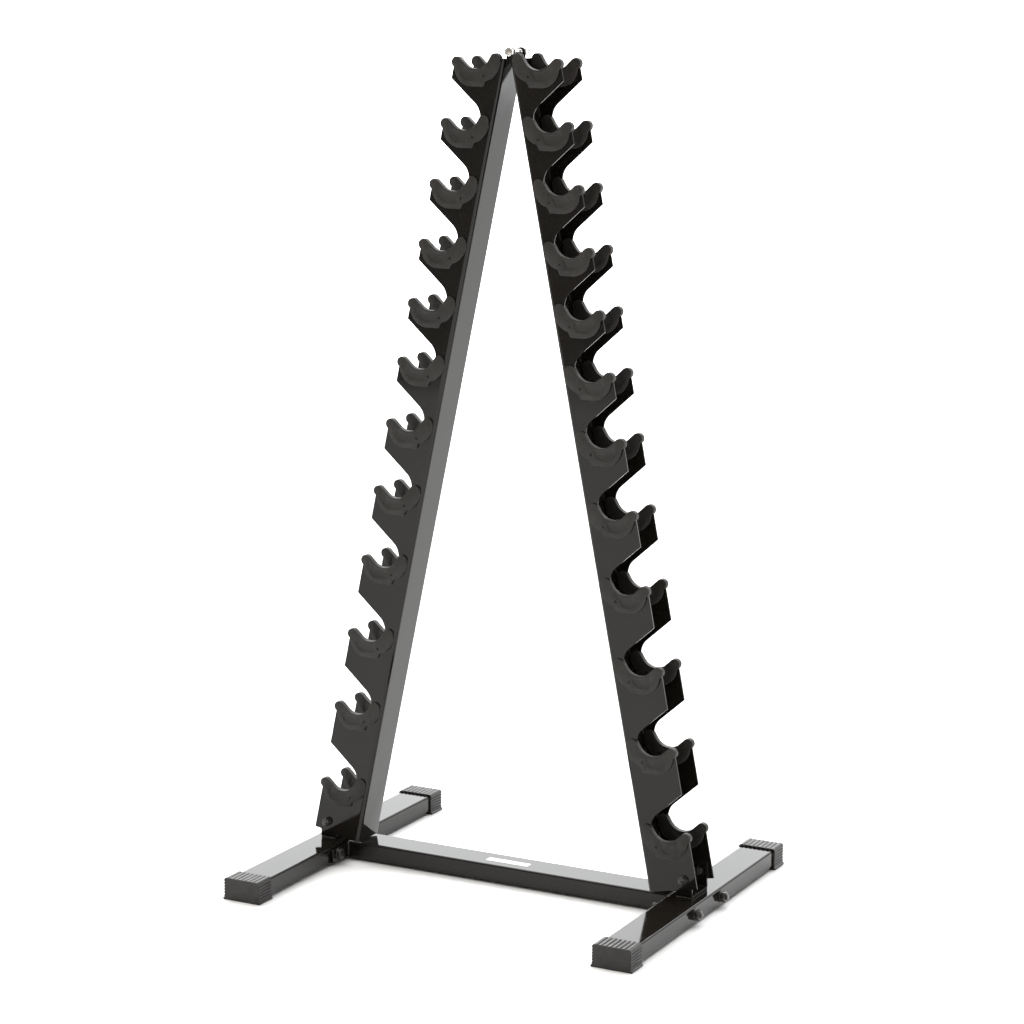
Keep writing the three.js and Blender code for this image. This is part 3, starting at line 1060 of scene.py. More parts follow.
    def _master(self) -> bpy.types.Object:
        """One right-hand saddle.

        Returns:
            The saddle, with the bottom of its seat at the origin.
        """
        saddle = self._crescent()
        for face in Face:
            combine(saddle, self._recess(face), Solids.CUT)
        soften(saddle, self.rounding, 3)
        for face in Face:
            x, z = self.dimple
            mark = Vector((x, face.value * self.thickness / 2, z))
            drill(saddle, self.dimple_radius, mark, ALONG_Y, self.dimple_depth)
        combine(saddle, self._slot(), Solids.CUT)
        smooth(saddle)
        return saddle

    def build(self, finishes: Finishes) -> None:
        """Models one saddle and sets a copy of it on every notch.

        Args:
            finishes: The rack's materials.
        """
        master = self._master()
        for side in Side:
            for face in Face:
                for level in LEVELS:
                    node = f"saddle_{side.word}_{face.word}_{level:02d}"
                    low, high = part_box(node)
                    inner_edge = high.x if side is Side.LEFT else low.x
                    seat = Vector((
                        inner_edge + side.value * self.inner_reach, (low.y + high.y) / 2,
                        low.z + self.skirt_drop,
                    ))
                    place = Matrix.Translation(seat)
                    if side is Side.LEFT:
                        place = place @ mirror_x()
                    rubber = copy_of(master, node + "_moulded", place)
                    dress(rubber, finishes.saddle_rubber, "saddle_rubber", node)
        discard(master)


# ------------------------------------------------------------- steel channels


@dataclass
class Uprights:
    """The two bent channels, notched on both flanges, with eye tabs for the apex bolt."""

    width: float = 70 * MM
    centre_y: float = CHANNEL_CENTRE_Y
    sheet: float = 3 * MM
    bend: float = 7 * MM
    lean: float = LEAN
    web_foot: float = 279 * MM
    flange_reach: float = 88.8 * MM
    bottom: float = 36 * MM
    top: float = 1361 * MM
    seat_reach: float = 46.7 * MM
    skirt_drop: float = SKIRT_DROP
    notch_radius: float = 30 * MM
    notch_drop: float = 3.5 * MM
    wall_reach: float = 26.5 * MM
    step_rise: float = 17 * MM
    corner_rise: float = 81.4 * MM
    roof_slope: float = math.radians(42)
    fillet: float = 29 * MM
    horn: tuple[float, float] = OUTER_HORN
    lip_radius: float = 5 * MM
    lip_start: float = 0.3
    edge_rounding: float = 0.45 * MM
    bolt_hole: float = CLEVIS_HOLE
    clevis_bolt: tuple[float, float] = CLEVIS_BOLT
    apex_height: float = 1372 * MM
    tab_sheet: float = 2.5 * MM
    tab_gap: float = 0.3 * MM
    tab_root: float = 1343 * MM
    tab_shoulder: float = 1357 * MM
    tab_clearance: float = 2.4 * MM
    eye_radius: float = 7 * MM
    tab_pairs: tuple[float, float] = (-25.9 * MM, 10.6 * MM)

    def _web(self, height: float) -> float:
        """The sideways place of the web's face at a height."""
        return self.web_foot - self.lean * height

    def _seats(self) -> list[Vector]:
        """Finds the seats in the frame.

        Returns:
            The bottom of every seat, from the lowest to the highest.
        """
        heights = sorted(
            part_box(f"saddle_right_front_{level:02d}")[0].z + self.skirt_drop for level in LEVELS
        )
        return [Vector((self._web(z) + self.seat_reach, z)) for z in heights]

    def _draw_floor(self, sketch: Sketch, seat: Vector) -> None:
        """Draws a notch's lip and bowl, and the step back to its upright wall.

        Args:
            sketch: The side view's outline.
            seat: The bottom of the notch's seat.
        """
        horn = seat + Vector(self.horn)
        bowl = seat + Vector((0, self.notch_radius - self.notch_drop))
        leave = cross_tangent(horn, self.lip_radius, bowl, self.notch_radius, -1)
        step = seat.y + self.step_rise
        end = math.asin((bowl.y - step) / self.notch_radius) - math.pi
        sketch.line((self._web(horn.y) + self.flange_reach, horn.y))
        sketch.arc_between(horn, self.lip_radius, self.lip_start, leave, 5)
        sketch.arc_between(bowl, self.notch_radius, leave - math.pi, end, 20)
        sketch.line((seat.x - self.wall_reach, step))

    def _draw_roof(self, sketch: Sketch, seat: Vector) -> None:
        """Draws a notch's upright wall, its round top and its sloping roof.

        Args:
            sketch: The side view's outline.
            seat: The bottom of the notch's seat.
        """
        corner_z = seat.y + self.corner_rise
        corner = Vector((self._web(corner_z) + self.flange_reach, corner_z))
        wall = seat.x - self.wall_reach
        turn = QUARTER - self.roof_slope
        meet = corner.y - (corner.x - wall) * math.tan(self.roof_slope)
        centre = Vector((wall + self.fillet, meet - self.fillet * math.tan(turn / 2)))
        sketch.arc_between(centre, self.fillet, math.pi, math.pi - turn, 8)
        sketch.line(corner)

    def _side(self) -> bpy.types.Object:
        """The side view with its notches.

        Returns:
            The solid, which reaches past both flanges.
        """
        seats = self._seats()
        square = self.flange_reach / (1 + self.lean ** 2)
        foot = Vector((self._web(self.bottom), self.bottom))
        sketch = Sketch("side", foot, ALONG_X, ALONG_Z)
        sketch.line(foot + square * Vector((1, self.lean)))
        for seat in seats[:-1]:
            self._draw_floor(sketch, seat)
            self._draw_roof(sketch, seat)
        self._draw_floor(sketch, seats[-1])
        head = Vector((self._web(self.top), self.top))
        wall = seats[-1].x - self.wall_reach
        sketch.line((wall, head.y + self.lean * (wall - head.x)), head)
        side = sketch.extruded(ALONG_Y * 2 * self.width)
        side.data.transform(Matrix.Translation(ALONG_Y * (self.centre_y - self.width)))
        return side

    def _channel(self, name: str) -> bpy.types.Object:
        """The plain channel before it is notched and cut to length.

        Args:
            name: The object's name.

        Returns:
            The channel.
        """
        half = self.width / 2
        inner = half - self.sheet
        inner_bend = self.bend - self.sheet
        reach = 1.2 * self.flange_reach
        sketch = Sketch(name, Vector((reach, -half)), ALONG_X, ALONG_Y)
        sketch.line((reach, -inner))
        sketch.arc_between((self.bend, inner_bend - inner), inner_bend, -QUARTER, -math.pi, 5)
        sketch.arc_between((self.bend, inner - inner_bend), inner_bend, math.pi, QUARTER, 5)
        sketch.line((reach, inner), (reach, half))
        sketch.arc_between((self.bend, half - self.bend), self.bend, QUARTER, math.pi, 6)
        sketch.arc_between((self.bend, self.bend - half), self.bend, math.pi, 3 * QUARTER, 6)
        channel = sketch.extruded(Vector((-self.lean, 0, 1)) * 1.1 * self.top)
        channel.data.transform(Matrix.Translation((self.web_foot, self.centre_y, 0)))
        return channel

    def _tab(self, pair: float, side: Side) -> bpy.types.Object:
        """One eye tab of the right-hand upright, before any mirroring.

        Args:
            pair: The Y between the two tabs that lie against each other.
            side: The upright that it is for, which sets the side of the pair.

        Returns:
            The tab.
        """
        inside = self.sheet / 2
        root = Vector((self._web(self.tab_root) + inside, self.tab_root))
        eye = Vector((0, self.apex_height))
        sketch = Sketch("tab", root, ALONG_X, ALONG_Z)
        sketch.line((self._web(self.tab_shoulder) + inside, self.tab_shoulder))
        sketch.arc_between(eye, self.eye_radius, 0, math.pi, 16)
        sketch.line((self.tab_clearance - self._web(self.tab_shoulder), self.tab_shoulder))
        tab = sketch.extruded(ALONG_Y * self.tab_sheet)
        centre = pair + side.value * (self.tab_sheet + self.tab_gap) / 2
        tab.data.transform(Matrix.Translation(ALONG_Y * (centre - self.tab_sheet / 2)))
        return tab

    def build(self, finishes: Finishes) -> None:
        """Models each upright in its right-hand form and mirrors the left one.

        Args:
            finishes: The rack's materials.
        """
        for side in Side:
            node = f"upright_{side.word}"
            body = self._channel(node + "_bent")
            combine(body, self._side(), Solids.SHARE)
            for pair in self.tab_pairs:
                combine(body, self._tab(pair, side), Solids.ADD)
            soften(body, self.edge_rounding, 2, clamped=False)
            for x, z in (self.clevis_bolt, (0, self.apex_height)):
                middle = Vector((x, self.centre_y, z))
                drill(body, self.bolt_hole, middle, ALONG_Y, self.width)
            if side is Side.LEFT:
                body.data.transform(mirror_x())
                body.data.flip_normals()
            flatten_normals(body)
            dress(body, finishes.paint, "frame_paint", node)


# ----------------------------------------------------------------------- base


@dataclass
class Feet:
    """The long feet: rectangular tube with round corners, drilled for the crossbar's bolts."""

    corner: float = TUBE_CORNER
    wall: float = TUBE_WALL
    bolt_y: tuple[float, float] = FOOT_BOLT_Y
    bolt_z: float = FOOT_BOLT_Z
    hole: float = FOOT_HOLE

    def build(self, finishes: Finishes) -> None:
        """Models both feet.

        Args:
            finishes: The rack's materials.
        """
        for side in Side:
            node = f"foot_{side.word}"
            low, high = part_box(node)
            tube = rounded_tube(node + "_tube", low, high, ALONG_Y, self.corner, self.wall)
            for y in self.bolt_y:
                middle = Vector(((low.x + high.x) / 2, y, self.bolt_z))
                drill(tube, self.hole, middle, ALONG_X, (high - low).x)
            smooth(tube)
            flatten_normals(tube)
            dress(tube, finishes.paint, "frame_paint", node)


@dataclass
class EndCaps:
    """The ribbed rubber cups on the ends of the feet."""

    width: float = 66 * MM
    height: float = 37 * MM
    length: float = 40 * MM
    corner: float = 2.6 * MM
    chamfer: float = 1 * MM
    flare: float = 2.4 * MM
    lip: float = 3 * MM
    neck: float = 1.5 * MM
    top_ribs: int = 8
    side_ribs: int = 6
    groove: float = 1.4 * MM
    depth: float = 1.2 * MM
    crown: float = 0.55 * MM
    rounding: float = 0.35 * MM
    end_wall: float = 4 * MM
    reach: tuple[float, float] = (60.6 * MM, 30.6 * MM)
    floor_gap: float = 3.7 * MM

    def _ribs(self, sketch: Sketch, start: Vector, end: Vector, count: int) -> None:
        """Draws a run of crowned ribs with narrow grooves between them.

        Args:
            sketch: The outline, drawn anticlockwise.
            start: Where the run begins.
            end: Where it ends.
            count: The number of ribs.
        """
        along = (end - start).normalized()
        inward = Vector((-along.y, along.x))
        pitch = ((end - start).length + self.groove) / count
        chord = pitch - self.groove
        radius = chord ** 2 / (8 * self.crown) + self.crown / 2
        turn = 2 * math.asin(chord / (2 * radius))
        for rib in range(count):
            first = start + along * pitch * rib
            centre = first + along * chord / 2 + inward * (radius - self.crown / 2)
            sketch.line(first)
            sketch.arc(centre, turn, 5)
            if rib < count - 1:
                last = first + along * chord
                sketch.line(last + inward * self.depth)
                sketch.line(last + inward * self.depth + along * self.groove)

    def _master(self) -> bpy.types.Object:
        """One cap for a front end.

        Returns:
            The cap, centred sideways, with its end face at the origin's Y.
        """
        half = self.width / 2
        foot = half + self.flare
        neck = self.lip + self.neck
        low = neck + self.chamfer
        shoulder = self.height - self.corner
        top = self.height - self.crown / 2
        edge = half - self.corner
        start = Vector((self.chamfer - foot, 0))
        sketch = Sketch("cap_master", start, ALONG_X, ALONG_Z)
        sketch.line((foot - self.chamfer, 0), (foot, self.chamfer), (foot, self.lip), (half, neck))
        self._ribs(sketch, Vector((half, low)), Vector((half, shoulder)), self.side_ribs)
        self._ribs(sketch, Vector((edge, top)), Vector((-edge, top)), self.top_ribs)
        self._ribs(sketch, Vector((-half, shoulder)), Vector((-half, low)), self.side_ribs)
        sketch.line((-half, neck), (-foot, self.lip), (-foot, self.chamfer))
        cap = sketch.extruded(ALONG_Y * self.length)
        soften(cap, self.rounding, 2, clamped=False)
        wide, high = self.reach
        cavity = block(
            "cavity", Vector((-wide / 2, self.end_wall, self.floor_gap)),
            Vector((wide / 2, self.end_wall + self.length, self.floor_gap + high)),
        )
        combine(cap, cavity, Solids.CUT)
        smooth(cap, 30)
        return cap

    def build(self, finishes: Finishes) -> None:
        """Sets a copy of the cap on each end of both feet.

        Args:
            finishes: The rack's materials.
        """
        master = self._master()
        for side in Side:
            for face in Face:
                node = f"end_cap_{side.word}_{face.word}"
                low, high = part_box(node)
                end = low.y if face is Face.FRONT else high.y
                turn = Matrix.Rotation(math.pi if face is Face.REAR else 0, 4, "Z")
                place = Matrix.Translation(((low.x + high.x) / 2, end, 0)) @ turn
                cap = copy_of(master, node + "_ribbed", place)
                flatten_normals(cap)
                dress(cap, finishes.cap_rubber, "cap_rubber", node)
        discard(master)


@dataclass
class Crossbar:
    """The tube between the feet, with a bolting plate welded to each end and a blank label."""

    corner: float = TUBE_CORNER
    wall: float = TUBE_WALL
    centre_y: float = 3 * MM
    width: float = 60 * MM
    plate: float = PLATE_SHEET
    plate_low: float = 6 * MM
    plate_high: float = 29 * MM
    plate_rounding: float = 1.1 * MM
    vent: float = 9 * MM
    hole: float = FOOT_HOLE
    bolt_y: tuple[float, float] = FOOT_BOLT_Y
    bolt_z: float = FOOT_BOLT_Z
    bead: float = 2.1 * MM
    bead_inset: float = 2 * MM
    bead_sink: float = 0.2 * MM
    bead_gap: float = 0.3 * MM
    label_x: tuple[float, float] = (-42 * MM, 36 * MM)
    label_y: tuple[float, float] = (-8 * MM, 7 * MM)
    film: float = 0.25 * MM

    def _tube_sides(self) -> list[float]:
        """The Y of the tube's front and rear faces."""
        return [self.centre_y + face.value * self.width / 2 for face in Face]

    def _sheet(self, name: str, low: Vector, high: Vector) -> bpy.types.Object:
        """A flat sheet with rounded edges.

        Args:
            name: The object's name.
            low: Its lowest corner.
            high: Its highest corner.

        Returns:
            The sheet.
        """
        sheet = block(name, low, high)
        soften(sheet, self.plate_rounding, 3)
        return sheet

    def _plate(self, side: Side, low: Vector, high: Vector) -> bpy.types.Object:
        """One end's bolting plate, drilled for its bolts and vented into the tube.

        Args:
            side: The end that it is for.
            low: The lowest corner of the whole crossbar.
            high: The highest corner of the whole crossbar.

        Returns:
            The plate.
        """
        face = high.x * side.value
        back = face - side.value * self.plate
        plate = self._sheet(
            "end_plate", Vector((min(face, back), low.y, self.plate_low)),
            Vector((max(face, back), high.y, self.plate_high)),
        )
        reach = 4 * self.plate
        for y in self.bolt_y:
            drill(plate, self.hole, Vector((face, y, self.bolt_z)), ALONG_X, reach)
        middle = Vector((face, self.centre_y, (low.z + high.z) / 2))
        drill(plate, self.vent, middle, ALONG_X, reach)
        return plate

    def _beads(self, side: Side, end: float) -> list[bpy.types.Object]:
        """The weld beads round one end of the tube.

        Args:
            side: The end that they are for.
            end: The X of the crossbar's outer face there, without its sign.

        Returns:
            The four beads.
        """
        joint = side.value * (end - self.plate - self.bead_gap)
        front, rear = self._tube_sides()
        over = self.plate_high - self.bead_sink
        start = self.plate_low + self.bead_inset
        uprights = [
            weld_bead(Vector((joint, y, start)), Vector((joint, y, over)), self.bead)
            for y in (front, rear)
        ]
        levels = [
            weld_bead(
                Vector((joint, front + self.corner, z)), Vector((joint, rear - self.corner, z)),
                self.bead,
            )
            for z in (over, self.plate_low + self.bead_sink)
        ]
        return uprights + levels

    def build(self, finishes: Finishes) -> None:
        """Models the crossbar, its weld beads and its label.

        Args:
            finishes: The rack's materials.
        """
        low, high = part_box("crossbar")
        reach = Vector((self.plate, 0, 0))
        front, rear = self._tube_sides()
        tube = rounded_tube(
            "crossbar_tube", Vector((low.x, front, low.z)) + reach,
            Vector((high.x, rear, high.z)) - reach, ALONG_X, self.corner, self.wall,
        )
        smooth(tube)
        plates = []
        beads = []
        for side in Side:
            plates.append(self._plate(side, low, high))
            beads.extend(self._beads(side, high.x))
        whole = join("crossbar_welded", [tube, *plates])
        flatten_normals(whole)
        dress(whole, finishes.paint, "frame_paint", "crossbar")
        dress(join("crossbar_welds", beads), finishes.weld, "frame_paint")
        label = self._sheet(
            "crossbar_label",
            Vector((self.label_x[0], self.label_y[0], high.z - self.film / 2)),
            Vector((self.label_x[1], self.label_y[1], high.z + self.film)),
        )
        dress(label, finishes.label, "frame_paint")


def weld_bead(start: Vector, end: Vector, radius: float) -> bpy.types.Object:
    """A row of overlapping weld ripples.

    Args:
        start: The middle of the first ripple.
        end: The middle of the last ripple.
        radius: The bead's radius.

    Returns:
        The bead.
    """
    pitch = 0.75 * radius
    unevenness = 0.12 * radius
    run = end - start
    count = max(2, round(run.length / pitch) + 1)
    deselect_all()
    bpy.ops.mesh.primitive_uv_sphere_add(segments=14, ring_count=8, radius=radius, location=start)
    bead = settle("bead")
    bpy.ops.object.shade_smooth()
    apply_modifier(
        bead, "ARRAY", count=count, use_relative_offset=False, use_constant_offset=True,
        constant_offset_displace=run / (count - 1),
    )
    jitter = random.Random(round(start.x / MM) * 7 + round(start.y / MM) * 3)
    size = len(bead.data.vertices) // count
    for index in range(count):
        shift = Vector([jitter.uniform(-unevenness, unevenness) for _ in range(3)])
        for vertex in bead.data.vertices[index * size:(index + 1) * size]:
            vertex.co += shift
    return bead


@dataclass
class Brackets:
    """The clevis brackets: a bent strap on each foot with an ear inside each flange."""

    centre_y: float = CHANNEL_CENTRE_Y
    half_depth: float = 31.7 * MM
    sheet: float = 4 * MM
    bend: float = 6 * MM
    width: float = 29 * MM
    ear_corner: float = 7 * MM
    rounding: float = 0.6 * MM
    hole: float = CLEVIS_HOLE
    bolt_z: float = CLEVIS_BOLT[1]
    bead: float = 1.9 * MM
    bead_inset: float = 2 * MM
    bead_place: tuple[float, float] = (-1.8 * MM, 0.6 * MM)

    def _strap(self, low: Vector, high: Vector) -> bpy.types.Object:
        """The bent strap with square ears.

        Args:
            low: The lowest corner of the bracket's box.
            high: The highest corner of the bracket's box.

        Returns:
            The solid.
        """
        outer = self.half_depth
        inner = outer - self.sheet
        fold = low.z + self.bend
        inner_bend = self.bend - self.sheet
        sketch = Sketch("bracket", Vector((outer, high.z)), ALONG_Y, ALONG_Z)
        sketch.line((inner, high.z))
        sketch.arc_between((inner - inner_bend, fold), inner_bend, 0, -QUARTER, 5)
        sketch.arc_between((inner_bend - inner, fold), inner_bend, -QUARTER, -math.pi, 5)
        sketch.line((-inner, high.z), (-outer, high.z))
        sketch.arc_between((self.bend - outer, fold), self.bend, math.pi, 3 * QUARTER, 6)
        sketch.arc_between((outer - self.bend, fold), self.bend, -QUARTER, 0, 6)
        strap = sketch.extruded(ALONG_X * self.width)
        strap.data.transform(Matrix.Translation((low.x, self.centre_y, 0)))
        return strap

    def _ear_view(self, low: Vector, high: Vector) -> bpy.types.Object:
        """The bracket's front view with round upper corners.

        Args:
            low: The lowest corner of the bracket's box.
            high: The highest corner of the bracket's box.

        Returns:
            The solid.
        """
        corner = self.ear_corner
        top = high.z - corner
        sketch = Sketch("ear_view", Vector((low.x, 0)), ALONG_X, ALONG_Z)
        sketch.line((high.x, 0))
        sketch.arc_between((high.x - corner, top), corner, 0, QUARTER, 8)
        sketch.arc_between((low.x + corner, top), corner, QUARTER, math.pi, 8)
        view = sketch.extruded(ALONG_Y * 4 * self.half_depth)
        view.data.transform(Matrix.Translation(ALONG_Y * -2 * self.half_depth))
        return view

    def build(self, finishes: Finishes) -> None:
        """Models both brackets and the welds that hold them.

        Args:
            finishes: The rack's materials.
        """
        beads = []
        for side in Side:
            node = f"bracket_{side.word}"
            low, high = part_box(node)
            strap = self._strap(low, high)
            combine(strap, self._ear_view(low, high), Solids.SHARE)
            soften(strap, self.rounding, 2, clamped=False)
            middle = Vector(((low.x + high.x) / 2, self.centre_y, self.bolt_z))
            drill(strap, self.hole, middle, ALONG_Y, 2 * self.half_depth)
            flatten_normals(strap)
            strap.name = node + "_strap"
            dress(strap, finishes.paint, "frame_paint", node)
            for face in Face:
                out, rise = self.bead_place
                y = self.centre_y + face.value * (self.half_depth + out)
                start = Vector((low.x + self.bead_inset, y, low.z + rise))
                end = Vector((high.x - self.bead_inset, y, low.z + rise))
                beads.append(weld_bead(start, end, self.bead))
        dress(join("bracket_welds", beads), finishes.weld, "frame_paint")


# ------------------------------------------------------------------ fasteners


def rod(name: str, radius: float, start: float, end: float, sides: int = 40) -> bpy.types.Object:
    """A round or polygonal rod along Z.

    Args:
        name: The rod's name.
        radius: Its radius.
        start: The height of its lower end.
        end: The height of its upper end.
        sides: The number of its sides.

    Returns:
        The rod.
    """
    deselect_all()
    bpy.ops.mesh.primitive_cylinder_add(
        vertices=sides, radius=radius, depth=end - start, location=(0, 0, (start + end) / 2),
    )
    return settle(name)


def washer(radius: float, start: float, end: float) -> bpy.types.Object:
    """A flat washer along Z.

    Args:
        radius: Its radius.
        start: The height of its lower face.
        end: The height of its upper face.

    Returns:
        The washer.
    """
    disc = rod("washer", radius, start, end, 48)
    soften(disc, 0.3 * (end - start), 2)
    return disc


@dataclass(frozen=True)
class Thread:
    """A metric size: shank radius, thread pitch and width across the flats.

    The shares are of the pitch, and corner_cut and spare are of the radius over the corners.
    """

    radius: float
    pitch: float
    flats: float
    root_share: float = 0.55
    ridge_share: float = 0.94
    crest_share: float = 0.42
    corner_cut: float = 0.13
    spare: float = 0.005
    edge: float = 0.25 * MM
    end_edge: float = 0.3 * MM

    def hexagon(self, start: float, end: float) -> bpy.types.Object:
        """A hexagon along Z with its corners turned down, as on a head or a nut.

        Args:
            start: The height of its lower face.
            end: The height of its upper face.

        Returns:
            The hexagon.
        """
        corners = self.flats / math.sqrt(3)
        hexagon = rod("hexagon", corners, start, end, 6)
        blank = rod("blank", corners * (1 + self.spare), start, end, 48)
        soften(blank, corners * self.corner_cut, 3)
        combine(hexagon, blank, Solids.SHARE)
        soften(hexagon, self.edge, 2, clamped=False)
        return hexagon

    def shank(self, start: float, end: float, plain_to: float) -> list[bpy.types.Object]:
        """A shank along Z, plain up to a height and threaded beyond it.

        Args:
            start: The height of its lower end.
            end: The height of its upper end.
            plain_to: Where the plain part stops and the thread starts.

        Returns:
            The core, the plain part and the thread.
        """
        core = rod("core", self.radius - self.root_share * self.pitch, start, end)
        plain = rod("plain", self.radius, start, plain_to)
        ridge = rod("ridge", self.radius, plain_to, plain_to + self.ridge_share * self.pitch)
        soften(ridge, self.crest_share * self.pitch, 2)
        turns = int((end - plain_to) / self.pitch)
        apply_modifier(
            ridge, "ARRAY", count=turns, use_relative_offset=False, use_constant_offset=True,
            constant_offset_displace=ALONG_Z * self.pitch,
        )
        for part in (core, plain):
            soften(part, self.end_edge, 2)
        return [core, plain, ridge]


M8 = Thread(4 * MM, 1.25 * MM, 13 * MM)
M10 = Thread(5 * MM, 1.5 * MM, 16 * MM)


@dataclass(frozen=True)
class Bolt:
    """A bolt with its nut and washers: the grip that it clamps, and its parts' heights."""

    size: Thread
    grip: float
    head: float
    nut: float
    tail: float
    head_washer: float
    nut_washer: float = 0
    washer_sheet: float = 1.6 * MM
    plain_share: float = 0.6

    def model(self, name: str) -> bpy.types.Object:
        """Models the bolt along Z, with its head below Z = 0 and its nut above the grip.

        Args:
            name: The object's name.

        Returns:
            The fastener.
        """
        seat = -self.washer_sheet
        rest = self.grip + (self.washer_sheet if self.nut_washer else 0)
        top = rest + self.nut
        parts = [
            self.size.hexagon(seat - self.head, seat), washer(self.head_washer, seat, 0),
            self.size.hexagon(rest, top),
            *self.size.shank(seat - self.head / 2, top + self.tail, self.grip * self.plain_share),
        ]
        if self.nut_washer:
            parts.append(washer(self.nut_washer, self.grip, rest))
        return join(name, parts)


@dataclass
class Fasteners:
    """The apex bolt and every bolt that fastens the uprights and the crossbar."""

    clevis: Bolt = Bolt(M8, 7.3 * MM, 5.3 * MM, 6.5 * MM, 3 * MM, 8 * MM)
    clevis_place: tuple[float, float] = CLEVIS_BOLT
    flange_faces: tuple[float, float] = (-39 * MM, 31 * MM)
    foot: Bolt = Bolt(M10, 65.3 * MM, 6.4 * MM, 8 * MM, 3.5 * MM, 10 * MM, 10 * MM)
    foot_y: tuple[float, float] = FOOT_BOLT_Y
    foot_z: float = FOOT_BOLT_Z
    plate: float = PLATE_SHEET
    apex: Thread = M8
    apex_head: float = 5.3 * MM
    apex_nut: float = 6.8 * MM
    apex_nut_face: float = 13.5 * MM
    apex_thread: float = 12 * MM

    def _clevis_bolts(self, finishes: Finishes) -> None:
        """A short bolt through each flange and ear, head outside.

        Args:
            finishes: The rack's materials.
        """
        master = self.clevis.model("clevis_master")
        x, z = self.clevis_place
        for side in Side:
            for face, y in zip(Face, self.flange_faces):
                turn = Matrix.Rotation(face.value * QUARTER, 4, "X")
                place = Matrix.Translation((side.value * x, y, z)) @ turn
                bolt = copy_of(master, f"clevis_bolt_{side.word}_{face.word}", place)
                dress(bolt, finishes.black_oxide, "frame_paint")
        discard(master)

    def _foot_bolts(self, finishes: Finishes) -> None:
        """A long bolt through each end plate and foot, nut outside.

        Args:
            finishes: The rack's materials.
        """
        master = self.foot.model("foot_master")
        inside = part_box("crossbar")[1].x - self.plate
        for side in Side:
            for index, y in enumerate(self.foot_y):
                turn = Matrix.Rotation(side.value * QUARTER, 4, "Y")
                place = Matrix.Translation((side.value * inside, y, self.foot_z)) @ turn
                bolt = copy_of(master, f"foot_bolt_{side.word}_{index + 1}", place)
                dress(bolt, finishes.black_oxide, "frame_paint")
        discard(master)

    def _apex_bolt(self, finishes: Finishes) -> None:
        """The long plated bolt through the eye tabs.

        Args:
            finishes: The rack's materials.
        """
        low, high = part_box("apex_bolt")
        seat = low.y + self.apex_head
        nut = self.apex_nut_face - seat
        parts = [
            self.apex.hexagon(-self.apex_head, 0), self.apex.hexagon(nut, nut + self.apex_nut),
            *self.apex.shank(-self.apex_head / 2, high.y - seat, nut - self.apex_thread),
        ]
        bolt = join("apex_bolt_plated", parts)
        turn = Matrix.Rotation(-QUARTER, 4, "X")
        bolt.data.transform(Matrix.Translation((0, seat, (low.z + high.z) / 2)) @ turn)
        dress(bolt, finishes.zinc, "zinc", "apex_bolt")

    def build(self, finishes: Finishes) -> None:
        """Models every fastener.

        Args:
            finishes: The rack's materials.
        """
        self._clevis_bolts(finishes)
        self._foot_bolts(finishes)
        self._apex_bolt(finishes)


# --------------------------------------------------------------------- studio


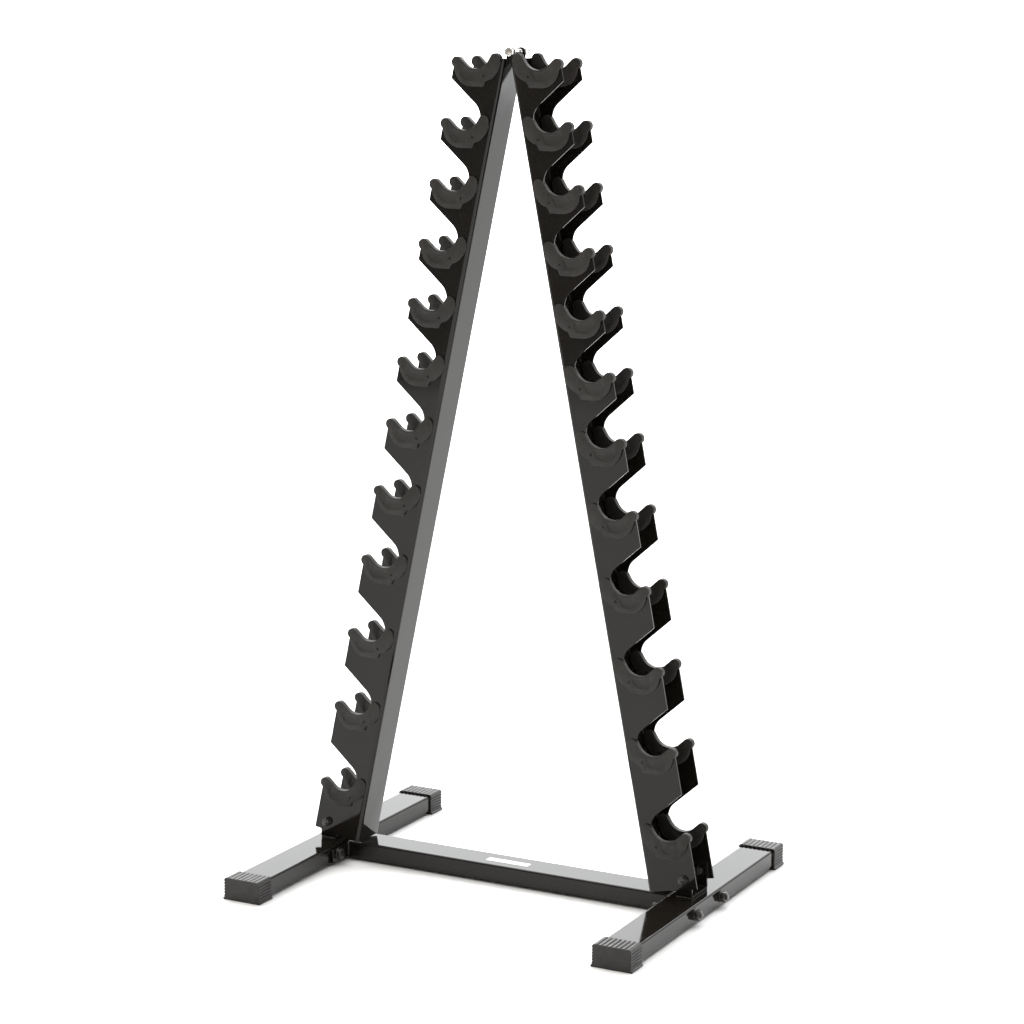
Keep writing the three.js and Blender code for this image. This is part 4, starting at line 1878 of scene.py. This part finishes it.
@dataclass
class Studio:
    """The camera, the soft surroundings and the floor."""

    camera_place: tuple[float, float, float] = (2.038427, -3.977684, 1.464853)
    heading: float = 0.474
    pitch: float = -0.185
    roll: float = 0.010
    lens: float = 97.81
    sensor: float = 36
    shift: tuple[float, float] = (-0.0005, 0.0005)
    floor_drop: float = 0.1 * MM
    floor_radius: float = 6.0
    back_span: tuple[float, float] = (-0.75, 0.45)
    back_strength: tuple[float, float] = (0.34, 3.15)
    front_tint: tuple[float, float, float] = (1.0, 0.955, 0.895)
    back_tint: tuple[float, float, float] = (0.985, 0.995, 1.0)
    roof_span: tuple[float, float] = (0.4, 0.9)
    roof_gain: tuple[float, float] = (1.0, 2.1)
    horizon_span: tuple[float, float] = (0.0, 0.08)
    side_span: tuple[float, float] = (0.05, 0.35)
    side_shade: float = 0.7

    def _camera(self) -> None:
        """Aims the camera."""
        data = bpy.data.cameras.new("camera")
        data.sensor_width = self.sensor
        data.lens = self.lens
        data.shift_x, data.shift_y = self.shift
        camera = bpy.data.objects.new("camera", data)
        bpy.context.scene.collection.objects.link(camera)
        turn = (
            Matrix.Rotation(self.heading, 3, "Z")
            @ Matrix.Rotation(QUARTER + self.pitch, 3, "X")
            @ Matrix.Rotation(self.roll, 3, "Z")
        )
        camera.location = self.camera_place
        camera.rotation_euler = turn.to_euler()
        bpy.context.scene.camera = camera

    def _surroundings(self) -> None:
        """A soft white studio, bright behind the rack, dim in front and beside it."""
        world = bpy.data.worlds.new("studio")
        bpy.context.scene.world = world
        world.use_nodes = True
        tree = ShaderTree(world.node_tree)
        direction = tree.node("TexCoord", {}).outputs["Generated"]
        across, depth, height = tree.node("SeparateXYZ", {"Vector": direction}).outputs
        back = tree.remap(depth, self.back_span, (0, 1), Change.EASED)
        strength = tree.multiply(
            tree.remap(depth, self.back_span, self.back_strength, Change.EASED),
            tree.remap(height, self.roof_span, self.roof_gain, Change.EASED),
        )
        wall = tree.remap(height, self.horizon_span, (0, 1), Change.EASED)
        beside = tree.remap(across, self.side_span, (0, self.side_shade), Change.EASED)
        shade = tree.subtract(1.0, tree.multiply(wall, beside))
        tint = tree.blend(back, opaque(self.front_tint), opaque(self.back_tint))
        backdrop = world.node_tree.nodes["Background"]
        tree.feed(backdrop.inputs["Color"], tint)
        tree.feed(backdrop.inputs["Strength"], tree.multiply(strength, shade))

    def _floor(self, finishes: Finishes) -> None:
        """A round pale floor.

        Args:
            finishes: The rack's materials.
        """
        deselect_all()
        bpy.ops.mesh.primitive_circle_add(
            vertices=96, radius=self.floor_radius, fill_type="NGON",
            location=(0, 0, -self.floor_drop),
        )
        floor = settle("studio_floor")
        floor.data.materials.append(finishes.floor)

    def build(self, finishes: Finishes) -> None:
        """Sets the scene.

        Args:
            finishes: The rack's materials.
        """
        self._camera()
        self._surroundings()
        self._floor(finishes)
        bpy.context.scene.view_settings.view_transform = "Standard"


def main() -> None:
    """Builds the rack's finished pieces in order."""
    logging.basicConfig(level=logging.INFO, format="%(message)s")
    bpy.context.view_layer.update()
    finishes = Finishes()
    Studio().build(finishes)
    slots = {"frame_paint": finishes.paint, "saddle_rubber": finishes.saddle_rubber,
             "cap_rubber": finishes.cap_rubber, "zinc": finishes.zinc}
    for row in frame["record"]["subparts"]:
        node = frame["nodes"][row["node"]]
        node.data.materials.clear()
        node.data.materials.append(slots[row["material_slot"]])
    assemblies = (
        Uprights(), Feet(), EndCaps(), Crossbar(), Brackets(), SaddleSet(), Fasteners(),
    )
    for assembly in assemblies:
        assembly.build(finishes)


if __name__ == "__main__":
    main()
